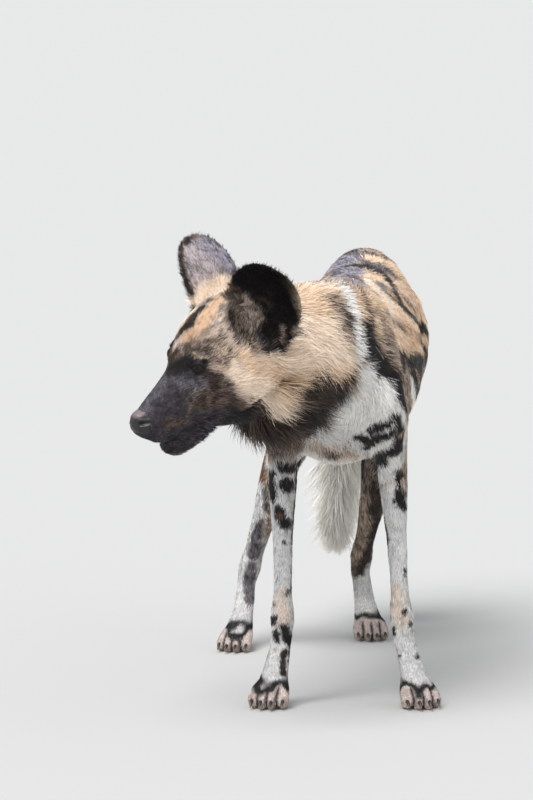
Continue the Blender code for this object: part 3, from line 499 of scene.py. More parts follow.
SKIN_TREE = BVHTree.FromPolygons(
    points_of(skin.data).tolist(), [tuple(face.vertices) for face in skin.data.polygons]
)


def lattice(cells, seed):
    """An even random number from 0 to 1 for each whole cell."""
    x, y, z = (cells[:, i].astype(np.int64) for i in range(3))
    mixed = (x * 73856093) ^ (y * 19349663) ^ (z * 83492791) ^ (seed * 2654435761)
    mixed = (mixed ^ (mixed >> 13)) * 1274126177 & 0x7FFFFFFF
    return ((mixed ^ (mixed >> 16)) & 0xFFFF) / 0xFFFF


def noise(points, size, seed):
    """Smooth noise from -1 to 1 over the points, with bumps about as wide as size."""
    scaled = points / size
    low = np.floor(scaled)
    t = scaled - low
    t = t * t * (3 - 2 * t)
    total = np.zeros(len(points))
    for corner in range(8):
        step = np.array([corner & 1, corner >> 1 & 1, corner >> 2 & 1])
        share = np.prod(np.where(step, t, 1 - t), axis=1)
        total += share * lattice(low + step, seed)
    return total * 2 - 1


def seen(column, row):
    """Where the photograph's pixel meets the skin, in the world."""
    way = sight_line(column, row)
    hit = SKIN_TREE.ray_cast(camera.location, way)[0]
    if hit is None:
        start = camera.location + way * (CAMERA_AWAY - 1)
        marks = [start + way * 0.02 * k for k in range(100)]
        near = min((SKIN_TREE.find_nearest(mark) for mark in marks), key=lambda found: found[3])
        hit = near[0]
    return np.array(hit)


DEEP = 0.30
SIGHT = np.array(-BACK)


def mark_share(warped, spots, radii, soft, deep):
    """How far each point is inside a mark, from 0 to 1. Seen marks reach farther in depth."""
    share = np.zeros(len(warped))
    reach = max(radii) * (1 + soft) / deep
    low, high = np.min(spots, axis=0) - reach, np.max(spots, axis=0) + reach
    near = np.nonzero(np.all((warped > low) & (warped < high), axis=1))[0]
    inner = warped[near]
    closest = np.full(len(near), 9.0)
    if len(spots) == 1:
        spots, radii = [spots[0], spots[0]], [radii[0], radii[0]]
    for k in range(len(spots) - 1):
        start, end = spots[k], spots[k + 1]
        along = end - start
        t = np.clip((inner - start) @ along / max(along @ along, 1e-12), 0, 1)
        away = inner - (start + t[:, None] * along)
        depth = away @ SIGHT
        span = np.sqrt(np.maximum((away**2).sum(axis=1) - (1 - deep**2) * depth**2, 0))
        closest = np.minimum(closest, span / (radii[k] + (radii[k + 1] - radii[k]) * t))
    share[near] = 1 - share_between(closest, 1 - soft, 1 + soft)
    return share


# colour, softness, ((column, row, radius in pixels), ...), as the photograph shows them
SEEN_MARKS = (
    # neck and shoulder
    (CREAM, 0.3, ((300, 320, 40), (335, 330, 35), (320, 365, 35))),
    (CREAM, 0.4, ((308, 287, 8), (320, 287, 9), (334, 288, 7))),
    (SAND, 0.5, ((300, 300, 14), (345, 300, 10), (320, 312, 10))),
    (SAND, 0.5, ((272, 370, 14), (290, 385, 12), (345, 380, 12))),
    (AGOUTI, 0.5, ((335, 300, 8), (345, 312, 13), (352, 330, 11), (358, 350, 7))),
    (UMBER, 0.5, ((348, 316, 6), (354, 330, 6))),
    (LILAC, 0.4, ((345, 281, 5), (356, 285, 6), (366, 290, 5))),
    (WHITE, 0.3, ((338, 284, 5), (346, 292, 7), (352, 308, 5.5), (356, 324, 3.5), (358, 340, 5), (361, 356, 6))),
    (WHITE, 0.25, ((366, 374, 9), (376, 392, 19), (385, 412, 22), (388, 440, 24), (384, 470, 16))),
    (WHITE, 0.35, ((352, 420, 26), (335, 440, 24), (318, 452, 18), (350, 455, 16))),
    # back and flank
    (SAND, 0.4, ((364, 274, 12), (384, 280, 12), (404, 290, 12), (420, 305, 12))),
    (SAND, 0.4, ((368, 296, 13), (386, 305, 14), (406, 318, 14), (426, 332, 12))),
    (SAND, 0.4, ((374, 322, 11), (390, 332, 14), (408, 344, 12), (420, 350, 8))),
    (AGOUTI, 0.4, ((382, 348, 8), (396, 366, 9), (403, 380, 10), (408, 392, 8))),
    (CREAM, 0.5, ((368, 282, 7), (382, 296, 10), (391, 312, 9))),
    (LILAC, 0.4, ((322, 276, 8), (333, 266, 10), (348, 260, 12), (354, 272, 11), (340, 276, 9))),
    (SLATE, 0.4, ((348, 250, 4), (366, 249, 3), (380, 252, 3))),
    (AGOUTI, 0.7, ((360, 266, 5), (374, 274, 4))),
    (TAN, 0.5, ((317, 272, 3), (326, 261, 3))),
    (SAND, 0.5, ((366, 257, 4), (378, 261, 6), (392, 266, 8), (404, 278, 9), (414, 300, 10), (422, 325, 9))),
    (TAN, 0.5, ((406, 326, 8), (415, 337, 9), (411, 348, 7))),
    (AGOUTI, 0.6, ((382, 324, 5), (390, 337, 8), (393, 350, 6))),
    (UMBER, 0.5, ((361, 290, 3), (368, 312, 4), (369, 332, 4))),
    (SOOT, 0.35, ((350, 266, 3.5), (367, 266, 3.5), (382, 273, 5), (392, 286, 6), (401, 306, 6.5), (414, 319, 6), (429, 336, 6))),
    (BLACK, 0.3, ((409, 362, 5), (418, 362, 8), (430, 352, 4), (426, 368, 7), (422, 380, 6))),
    (TAN, 0.4, ((416, 372, 2), (418, 381, 3))),
    (WHITE, 0.4, ((428, 368, 2), (428, 383, 2))),
    (WHITE, 0.3, ((411, 380, 4), (413, 393, 6.5), (417, 406, 6.5), (420, 415, 4))),
    (BLACK, 0.25, ((365, 322, 3), (367, 340, 6), (373, 354, 9), (383, 367, 11), (394, 378, 8), (400, 394, 7), (406, 412, 4))),
    # spots of the shoulder
    # painted shade: the lower chest greyed where the head's shadow falls on it
    (FROST, 0.8, ((326, 432, 13), (342, 436, 14), (352, 446, 10))),
    (BLACK, 0.2, ((395, 420, 6), (400, 431, 6.5), (398, 443, 6))),
    (BLACK, 0.2, ((372, 432, 4.5), (385, 426, 5))),
    (BLACK, 0.2, ((356, 438, 4), (372, 442, 5.5), (390, 435, 4.5))),
    (BLACK, 0.2, ((367, 447, 4.5),)),
    (BLACK, 0.2, ((389, 454, 5.5), (400, 448, 5.5))),
    (SOOT, 0.2, ((370, 468, 7), (382, 461, 8))),
    (TAN, 0.4, ((400, 436, 2.5),)),
    (GRIZZLE, 0.8, ((316, 447, 7), (334, 453, 9), (352, 455, 7))),
    (BRACKEN, 0.8, ((326, 454, 4), (336, 456, 4))),
    # ruff and throat
    (SOOT, 0.35, ((226, 408, 12), (248, 416, 16), (272, 424, 18), (300, 424, 18), (316, 404, 12), (340, 392, 8), (352, 380, 5))),
    (SOOT, 0.4, ((292, 386, 5), (306, 390, 8), (316, 384, 8), (330, 386, 6))),
    (UMBER, 0.5, ((262, 402, 7), (280, 412, 8), (296, 428, 10), (280, 440, 12), (255, 432, 8))),
    (BLACK, 0.4, ((232, 410, 8), (248, 418, 7))),
    (BLACK, 0.4, ((306, 412, 6), (305, 428, 7))),
    (BRACKEN, 0.8, ((252, 440, 6), (262, 446, 8), (274, 453, 9), (290, 455, 9), (302, 448, 6))),
    (CREAM, 0.35, ((232, 366, 8), (252, 380, 9), (270, 390, 10), (284, 406, 7))),
    # forelegs
    (FROST, 0.35, ((266, 466, 7), (280, 470, 12), (284, 500, 13), (284, 540, 12))),
    (BLACK, 0.2, ((280, 466, 6), (292, 468, 6))),
    (BLACK, 0.2, ((285, 488, 8),)),
    (BLACK, 0.2, ((272, 474, 4), (271, 488, 5), (273, 500, 4))),
    (BLACK, 0.2, ((279, 512, 6), (284, 524, 7))),
    (RUST, 0.3, ((282, 518, 2.5),)),
    (SOOT, 0.25, ((296, 474, 4), (295, 500, 4), (294, 530, 3.5), (292, 560, 2.2), (291, 592, 1.8))),
    (BLACK, 0.2, ((284, 541, 1.6), (284, 545, 1.6))),
    (BLACK, 0.2, ((288, 591, 1.8), (288, 597, 1.8))),
    (BLACK, 0.2, ((273, 600, 1.6), (273, 607, 1.6))),
    (FAWN, 0.8, ((281, 594, 6), (281, 606, 8), (283, 620, 8))),
    (BLACK, 0.25, ((274, 618, 3), (274, 625, 3.5))),
    (BLACK, 0.25, ((276, 636, 4), (276, 641, 3))),
    (BLACK, 0.25, ((285, 630, 5), (288, 640, 6))),
    (SOOT, 0.3, ((283, 652, 3.5), (282, 663, 3), (283, 673, 4.5))),
    (SOOT, 0.3, ((291, 648, 2), (291, 662, 2))),
    (BLACK, 0.25, ((369, 469, 5), (382, 464, 7))),
    (BLACK, 0.25, ((399, 473, 4), (402, 486, 5), (400, 500, 6), (405, 510, 3))),
    (PINK, 0.4, ((403, 480, 2.2), (404, 491, 2))),
    (SOOT, 0.2, ((382, 500, 2.5), (386, 530, 2.5), (388, 556, 2))),
    (BLACK, 0.2, ((405, 570, 1.8), (405, 576, 1.8))),
    (FAWN, 0.8, ((397, 590, 6), (398, 606, 8), (402, 620, 8))),
    (BLACK, 0.25, ((406, 613, 3.5),)),
    (BLACK, 0.25, ((394, 628, 2.8), (394, 633, 2.8))),
    (BLACK, 0.25, ((411, 625, 2.4),)),
    (BLACK, 0.25, ((415, 631, 2),)),
    (BLACK, 0.25, ((417, 657, 2.8),)),
    (SOOT, 0.3, ((400, 658, 1.8),)),
    # hind legs
    (RUST, 0.4, ((263, 460, 8), (262, 478, 8))),
    (FROST, 0.35, ((259, 492, 10), (254, 520, 13), (250, 556, 13), (246, 590, 12))),
    (SLATE, 0.3, ((265, 490, 3), (266, 512, 3))),
    (SLATE, 0.35, ((260, 524, 5), (256, 540, 6.5), (254, 556, 6))),
    (SLATE, 0.35, ((251, 566, 5), (249, 584, 7), (250, 600, 6))),
    (BRACKEN, 0.3, ((372, 470, 14), (372, 500, 12), (371, 530, 11), (362, 556, 11), (356, 570, 9))),
    (AGOUTI, 0.6, ((363, 495, 7), (362, 530, 7), (354, 556, 6))),
    (SOOT, 0.5, ((377, 490, 6), (377, 520, 5), (370, 548, 4), (360, 572, 5))),
    (WHITE, 0.35, ((361, 606, 13), (366, 640, 14))),
    # forehead, temple and cheek
    (GRIZZLE, 0.4, ((215, 315, 14), (212, 345, 18), (235, 352, 14), (252, 366, 10))),
    (AGOUTI, 0.7, ((218, 346, 10), (232, 356, 8))),
    (CREAM, 0.6, ((226, 362, 6), (240, 374, 8), (254, 386, 8))),
    (SAND, 0.6, ((244, 356, 7), (256, 367, 8))),
    (CREAM, 0.4, ((196, 300, 6), (208, 296, 8), (218, 290, 8), (227, 284, 7))),
    (CREAM, 0.5, ((178, 326, 5), (190, 312, 6))),
    (TAN, 0.6, ((188, 340, 5), (202, 322, 7), (214, 308, 6), (221, 298, 4))),
    (SOOT, 0.35, ((167, 352, 4.5), (174, 340, 4), (186, 326, 3.6), (199, 311, 3.2), (211, 300, 1.8))),
    (AGOUTI, 0.5, ((196, 350, 8), (212, 348, 10), (222, 360, 10), (205, 335, 7))),
    (BRACKEN, 0.7, ((186, 350, 5), (196, 344, 6), (208, 348, 7))),
    (UMBER, 0.6, ((168, 358, 8), (176, 356, 6))),
    (BLACK, 0.4, ((176, 368, 7), (186, 361, 6), (197, 360, 6.5), (205, 364, 4.5))),
    # painted sheen: the blue-grey shine on the black fur under the eye
    (BLUE_SHEEN, 0.7, ((182, 381, 6), (194, 384, 6), (206, 382, 4))),
    (SOOT, 0.5, ((205, 372, 5), (214, 379, 5), (217, 390, 5))),
    (UMBER, 0.9, ((168, 424, 5), (184, 421, 5), (200, 417, 5))),
    (UMBER, 0.5, ((198, 406, 9), (212, 402, 9), (228, 398, 7), (240, 404, 6))),
    (INK, 0.5, ((196, 418, 7), (214, 412, 6), (230, 410, 5))),
    # the near ear, from inside, and the back of the far one
    (UMBER, 0.5, ((236, 282, 7), (235, 296, 7))),
    (BRACKEN, 0.5, ((233, 302, 8), (234, 318, 9), (242, 334, 9), (256, 346, 8))),
    (BLACK, 0.3, ((243, 278, 10), (260, 282, 14), (278, 296, 16), (284, 314, 16), (270, 330, 15), (256, 312, 14))),
    (BLACK, 0.3, ((268, 348, 5), (283, 342, 5), (294, 330, 5))),
    (GRIZZLE, 0.6, ((248, 300, 4), (251, 310, 7), (255, 320, 7))),
    (BRACKEN, 0.6, ((281, 328, 4), (282, 338, 3.5))),
    (MAUVE, 0.4, ((193, 252, 9), (200, 262, 14), (206, 280, 13), (212, 262, 12))),
    (LILAC, 0.6, ((205, 246, 8), (222, 256, 9), (230, 268, 9))),
    (CREAM, 0.8, ((197, 296, 6), (208, 291, 8), (220, 286, 7))),
    (SOOT, 0.3, ((190, 240, 4), (181, 247, 4), (181, 262, 4), (187, 280, 4), (193, 296, 4))),
)
# colour, softness, ((x, y, z, radius), ...), on the sides the photograph doesn't show
FAR_MARKS = (
    (SLATE, 0.3, ((0.02, 0.10, 0.64, 0.05), (0.03, 0.25, 0.64, 0.06), (0.04, 0.42, 0.64, 0.06))),
    (CREAM, 0.3, ((-0.06, -0.02, 0.60, 0.06), (-0.09, -0.08, 0.56, 0.05))),
    (TAN, 0.3, ((-0.07, 0.12, 0.56, 0.05), (-0.08, 0.20, 0.52, 0.05))),
    (BLACK, 0.25, ((-0.09, 0.30, 0.55, 0.06), (-0.08, 0.38, 0.50, 0.05))),
    (WHITE, 0.25, ((-0.09, 0.10, 0.42, 0.05), (-0.08, 0.04, 0.38, 0.04))),
    (SAND, 0.3, ((-0.06, 0.50, 0.56, 0.05), (-0.06, 0.55, 0.46, 0.05))),
    (BLACK, 0.25, ((-0.09, 0.46, 0.40, 0.04),)),
    (WHITE, 0.25, ((0.02, 0.60, 0.50, 0.04), (0.10, 0.58, 0.46, 0.03))),
    (TAN, 0.25, ((0.10, 0.50, 0.56, 0.05),)),
    (BLACK, 0.25, ((0.10, 0.56, 0.40, 0.04),)),
    (SOOT, 0.3, ((0.00, -0.10, 0.42, 0.05), (0.02, 0.00, 0.36, 0.03))),
)
# the same, in the head's own frame, for both of its sides
HEAD_MARKS = (
    (CREAM, 0.4, ((0.030, 0.010, 0.060, 0.050), (0.050, -0.010, 0.000, 0.040))),
    (GRIZZLE, 0.4, ((0.035, -0.075, 0.045, 0.030), (0.045, -0.055, 0.010, 0.030))),
    (CREAM, 0.4, ((0.014, -0.100, 0.058, 0.012), (0.018, -0.050, 0.070, 0.016))),
    (UMBER, 0.5, ((0.038, -0.110, 0.006, 0.022), (0.040, -0.090, -0.010, 0.020))),
    (INK, 0.35, ((0.030, -0.128, 0.036, 0.018), (0.022, -0.145, 0.032, 0.018))),
    (INK, 0.3, ((0.000, -0.235, -0.010, 0.040), (0.000, -0.190, -0.015, 0.042), (0.000, -0.165, 0.0, 0.042))),
    (INK, 0.3, ((0.010, -0.215, -0.055, 0.030), (0.015, -0.160, -0.055, 0.036), (0.020, -0.100, -0.060, 0.034))),
    # painted sheen: the blue-grey shine along the top of the muzzle
    (BLUE_SHEEN, 0.6, ((0.000, -0.225, 0.012, 0.014), (0.000, -0.190, 0.024, 0.016), (0.000, -0.160, 0.036, 0.014))),
    (SOOT, 0.3, ((0.000, -0.070, -0.060, 0.040), (0.000, -0.030, -0.060, 0.040))),
    (SOOT, 0.3, ((0.000, -0.150, 0.040, 0.010), (0.000, -0.110, 0.060, 0.007), (0.000, -0.020, 0.085, 0.006))),
)


def blend(colour, name, share):
    colour += (np.array(name) - colour) * share[:, None]


def painted(points, facing):
    """The two hair colours of the coat, and the share of the pale one, at points of the skin."""
    flat = points - np.array(MOVED)
    local = in_head(points)
    broad = noise(flat, 0.075, 1) + 0.5 * noise(flat, 0.030, 2)
    other = noise(flat, 0.090, 3) + 0.4 * noise(flat, 0.035, 4)
    colour = np.tile(AGOUTI, (len(points), 1))
    blend(colour, TAN, share_between(other, 0.10, 0.30))
    blend(colour, SOOT, share_between(broad, 0.05, 0.20))
    blend(colour, WHITE, share_between(-broad - 0.4 * other, 0.52, 0.62))
    blend(colour, FROST, share_between(flat[:, 2], 0.35, 0.31) * (flat[:, 1] < 0.3))
    blend(colour, FROST, share_between(flat[:, 2], 0.19, 0.15))
    warp = np.stack([noise(flat, 0.018, 10 + i) + 0.6 * noise(flat, 0.006, 13 + i) for i in range(3)], axis=1)
    warped = points + warp * 0.0035
    for name, soft, line in FAR_MARKS:
        spots = [np.array(mark[:3]) + np.array(MOVED) for mark in line]
        blend(colour, name, mark_share(warped, spots, [mark[3] for mark in line], soft, 1.0))
    on_head = share_between(local[:, 1], 0.03, -0.02)
    blend(colour, GRIZZLE, on_head * share_between(flat[:, 1], -0.10, -0.16))
    folded = local + warp * 0.003
    folded[:, 0] = np.abs(folded[:, 0])
    for name, soft, line in HEAD_MARKS:
        spots = [np.array(mark[:3]) for mark in line]
        blend(colour, name, mark_share(folded, spots, [mark[3] for mark in line], soft, 1.0) * on_head)
    away = ear_distances(points)
    for side in EARS:
        home = np.array(EARS[side].inverted())
        own = points @ home[:3, :3].T + home[:3, 3]
        open_way = facing @ home[:3, :3].T
        near = share_between(away, 0.006, 0.004) * (np.sign(local[:, 0]) == side)
        inside = share_between(open_way[:, 1], 0.5, 0.2)
        blend(colour, BLACK, near * inside)
        blend(colour, UMBER, near * (1 - inside))
        base = share_between(own[:, 2], 0.050, 0.015)
        blend(colour, CREAM, near * base * (1 - inside))
    for name, soft, spots, radii in PLACED_MARKS:
        blend(colour, name, mark_share(warped, spots, radii, soft, DEEP))
    height = flat[:, 2] + 0.012 * noise(flat, 0.015, 20)
    blend(colour, BLACK, share_between(height, 0.043, 0.036) * share_between(height, 0.022, 0.030))
    blend(colour, PINK, share_between(height, 0.030, 0.022))
    # painted shade: the folds between the toes darkened
    blend(colour, BLACK, np.clip(1.4 * between_toes(points), 0, 1) * 0.9)
    tail = share_between(flat[:, 1], 0.640, 0.655) * (flat[:, 2] > 0.1)
    low = share_between(flat[:, 2], 0.47, 0.44)
    blend(colour, SOOT, tail * (1 - low))
    blend(colour, IVORY, tail * low)
    return colour


PLACED_MARKS = []
for name, soft, line in SEEN_MARKS:
    spots, radii = [], []
    for k in range(len(line)):
        ahead = line[min(k + 1, len(line) - 1)]
        steps = max(int(math.dist(line[k][:2], ahead[:2]) / 8), 1)
        for j in range(steps):
            here = [a + (b - a) * j / steps for a, b in zip(line[k], ahead)]
            spots.append(seen(here[0], here[1]))
            radii.append(here[2] * CAMERA_AWAY / LENS_PIXELS)
    PLACED_MARKS.append((name, soft, spots, radii))

kinds = painted(points_of(skin.data), normals_of(skin.data))
# The skin's colour is the coat's mixed colour darkened to 0.7: painted shade of the hair lying over it.
hue = (kinds[:, :3] + (kinds[:, 3:6] - kinds[:, :3]) * kinds[:, 6:]) * 0.7
paint = skin.data.color_attributes.new("painted", "FLOAT_COLOR", "POINT")
paint.data.foreach_set("color", np.column_stack([hue, np.ones(len(hue))]).ravel())


def painted_material(name, roughness, specular=0.3):
    """A material that takes its colour from the paint on the points."""
    material = bpy.data.materials.new(name)
    material.use_nodes = True
    nodes, links = material.node_tree.nodes, material.node_tree.links
    shader = nodes["Principled BSDF"]
    source = nodes.new("ShaderNodeAttribute")
    source.attribute_name = "painted"
    links.new(source.outputs["Color"], shader.inputs["Base Color"])
    shader.inputs["Roughness"].default_value = roughness
    shader.inputs["Specular IOR Level"].default_value = specular
    return material


HIDE = painted_material("hide", 0.7)
HAIR = painted_material("hair", 0.55)
skin.data.materials.clear()
skin.data.materials.append(HIDE)

# The coat
# Flat tapered tufts rooted in the skin, lying as the animal's hair lies, in pieces by part of the body.
# Each tuft is a patch on an unwrap of the skin, at the place of its root.
SEED = 11
FLOOR_GAP = 0.0003
rng = np.random.default_rng(SEED)

bpy.context.view_layer.objects.active = skin
skin.select_set(True)
skin.data.uv_layers.new(name="OFBake")
bpy.ops.object.mode_set(mode="EDIT")
bpy.ops.mesh.select_all(action="SELECT")
bpy.ops.uv.smart_project(angle_limit=math.radians(66), island_margin=0.001)
bpy.ops.object.mode_set(mode="OBJECT")
skin.select_set(False)

# place, way the hair lies, length, how far it stands out (0 flat to 1 upright)
BODY_LIE = (
    ((0.000, -0.020, 0.640), (0.0, 1.0, -0.1), 0.030, 0.10),
    ((0.030, 0.300, 0.650), (0.0, 1.0, 0.0), 0.022, 0.08),
    ((0.040, 0.520, 0.640), (0.0, 1.0, -0.3), 0.024, 0.08),
    ((0.090, 0.050, 0.560), (0.2, 0.8, -0.6), 0.020, 0.08),
    ((0.100, 0.000, 0.480), (0.2, 0.5, -1.0), 0.014, 0.07),
    ((0.100, 0.200, 0.520), (0.0, 1.0, -0.4), 0.022, 0.08),
    ((0.110, 0.350, 0.500), (0.0, 1.0, -0.5), 0.022, 0.08),
    ((0.110, 0.480, 0.500), (0.0, 0.7, -1.0), 0.022, 0.08),
    ((-0.090, 0.050, 0.560), (-0.2, 0.8, -0.6), 0.024, 0.08),
    ((-0.090, 0.200, 0.520), (0.0, 1.0, -0.4), 0.022, 0.08),
    ((-0.080, 0.350, 0.500), (0.0, 1.0, -0.5), 0.022, 0.08),
    ((-0.080, 0.480, 0.500), (0.0, 0.7, -1.0), 0.022, 0.08),
    ((0.000, -0.090, 0.460), (0.1, 0.2, -1.0), 0.030, 0.12),
    ((0.060, -0.060, 0.430), (0.2, 0.3, -1.0), 0.014, 0.08),
    ((-0.070, -0.060, 0.430), (-0.2, 0.3, -1.0), 0.024, 0.10),
    ((0.000, 0.100, 0.360), (0.0, 1.0, -0.4), 0.024, 0.12),
    ((0.000, 0.300, 0.390), (0.0, 1.0, -0.2), 0.024, 0.12),
    ((0.080, 0.560, 0.420), (0.0, 0.5, -1.0), 0.022, 0.10),
    ((-0.060, 0.560, 0.420), (0.0, 0.5, -1.0), 0.022, 0.10),
    ((0.040, 0.620, 0.520), (0.0, 0.4, -1.0), 0.030, 0.12),
    ((-0.060, -0.060, 0.640), (0.5, 1.0, -0.2), 0.034, 0.12),
    ((0.020, -0.110, 0.560), (0.6, 0.7, -0.5), 0.034, 0.12),
    ((-0.090, -0.160, 0.440), (0.5, 0.6, -1.0), 0.042, 0.50),
    ((-0.050, -0.110, 0.440), (0.4, 0.5, -1.0), 0.040, 0.40),
    ((-0.130, -0.060, 0.540), (-0.2, 1.0, -0.6), 0.034, 0.12),
    ((0.110, 0.000, 0.300), (0.0, 0.1, -1.0), 0.012, 0.05),
    ((0.110, 0.000, 0.150), (0.0, 0.1, -1.0), 0.009, 0.04),
    ((0.115, -0.020, 0.030), (0.0, -0.7, -0.7), 0.005, 0.04),
    ((-0.100, 0.000, 0.300), (0.0, 0.1, -1.0), 0.012, 0.05),
    ((-0.100, 0.000, 0.150), (0.0, 0.1, -1.0), 0.009, 0.04),
    ((-0.104, -0.020, 0.030), (0.0, -0.7, -0.7), 0.005, 0.04),
    ((0.080, 0.600, 0.250), (0.0, 0.1, -1.0), 0.012, 0.05),
    ((0.060, 0.570, 0.100), (0.0, -0.1, -1.0), 0.009, 0.04),
    ((0.058, 0.545, 0.030), (0.0, -0.7, -0.7), 0.005, 0.04),
    ((-0.120, 0.560, 0.250), (0.0, 0.1, -1.0), 0.012, 0.05),
    ((-0.150, 0.500, 0.100), (0.0, -0.1, -1.0), 0.009, 0.04),
    ((-0.158, 0.450, 0.030), (0.0, -0.7, -0.7), 0.005, 0.04),
)
# the same in the head's own frame; both sides alike
HEAD_LIE = (
    ((0.000, -0.225, 0.010), (0.0, 1.0, 0.2), 0.003, 0.04),
    ((0.012, -0.210, -0.010), (0.2, 1.0, -0.2), 0.004, 0.04),
    ((0.018, -0.170, -0.020), (0.1, 1.0, -0.3), 0.005, 0.05),
    ((0.000, -0.180, 0.020), (0.1, 1.0, 0.1), 0.005, 0.05),
    ((0.000, -0.140, 0.045), (0.0, 1.0, 0.5), 0.006, 0.05),
    ((0.030, -0.120, 0.055), (0.4, 1.0, 0.3), 0.006, 0.06),
    ((0.035, -0.100, 0.020), (0.3, 1.0, -0.2), 0.008, 0.06),
    ((0.000, -0.070, 0.080), (0.0, 1.0, 0.2), 0.010, 0.06),
    ((0.045, -0.060, 0.010), (0.2, 1.0, -0.3), 0.014, 0.08),
    ((0.040, -0.080, -0.030), (0.2, 1.0, -0.5), 0.014, 0.08),
    ((0.010, -0.200, -0.050), (0.1, 1.0, -0.4), 0.006, 0.08),
    ((0.015, -0.120, -0.065), (0.1, 1.0, -0.5), 0.014, 0.12),
    ((0.000, -0.060, -0.070), (0.0, 1.0, -0.7), 0.030, 0.18),
    ((0.050, -0.030, -0.030), (0.5, 1.0, -0.6), 0.032, 0.18),
    ((0.000, -0.010, 0.090), (0.0, 1.0, 0.0), 0.018, 0.08),
    ((0.000, 0.040, 0.060), (0.0, 1.0, -0.3), 0.030, 0.10),
    ((0.050, -0.028, 0.046), (0.3, 0.5, 1.0), 0.016, 0.30),
    ((0.034, -0.110, 0.062), (0.4, 1.0, 0.5), 0.007, 0.10),
    ((0.020, -0.110, -0.072), (0.1, 0.8, -0.8), 0.018, 0.40),
    ((0.020, -0.080, -0.085), (0.1, 0.8, -1.0), 0.028, 0.52),
    ((0.020, -0.040, -0.095), (0.1, 0.8, -1.0), 0.036, 0.55),
)


def lie_at(points, guides, power=4):
    """The lie, length and stand of the hair at points, drawn from the nearest guides."""
    total = np.zeros((len(points), 5))
    weights = np.zeros(len(points))
    for place, way, length, stand in guides:
        near = ((points - np.array(place)) ** 2).sum(axis=1) + 1e-6
        share = near ** (-power / 2)
        way = np.array(way) / np.linalg.norm(way)
        total += share[:, None] * np.array([*way, length, stand])
        weights += share
    total /= weights[:, None]
    return total[:, :3], total[:, 3], total[:, 4]


def unit(vectors):
    return vectors / np.maximum(np.linalg.norm(vectors, axis=1), 1e-9)[:, None]


skin.data.calc_loop_triangles()
corner_loops = np.empty(len(skin.data.loop_triangles) * 3, dtype=np.int64)
skin.data.loop_triangles.foreach_get("loops", corner_loops)
corner_points = np.empty(len(skin.data.loop_triangles) * 3, dtype=np.int64)
skin.data.loop_triangles.foreach_get("vertices", corner_points)
TRIANGLES = corner_points.reshape(-1, 3)
flat_uv = np.empty(len(skin.data.loops) * 2)
skin.data.uv_layers["OFBake"].data.foreach_get("uv", flat_uv)
TRIANGLE_UV = flat_uv.reshape(-1, 2)[corner_loops].reshape(-1, 3, 2)
SKIN_POINTS, SKIN_NORMALS = points_of(skin.data), normals_of(skin.data)
CORNERS = SKIN_POINTS[TRIANGLES]
AREAS = np.linalg.norm(np.cross(CORNERS[:, 1] - CORNERS[:, 0], CORNERS[:, 2] - CORNERS[:, 0]), axis=1) / 2
CENTRES = CORNERS.mean(axis=1)


def roots(share, count):
    """Random roots on the skin, as thick as share says: their places, normals and places on the unwrap."""
    chance = AREAS * share
    picked = rng.choice(len(AREAS), count, p=chance / chance.sum())
    a, b = rng.random(count), rng.random(count)
    over = a + b > 1
    a[over], b[over] = 1 - a[over], 1 - b[over]
    mix = np.stack([1 - a - b, a, b], axis=1)[:, :, None]
    places = (CORNERS[picked] * mix).sum(axis=1)
    facing = unit((SKIN_NORMALS[TRIANGLES[picked]] * mix).sum(axis=1))
    return places, facing, (TRIANGLE_UV[picked] * mix).sum(axis=1)


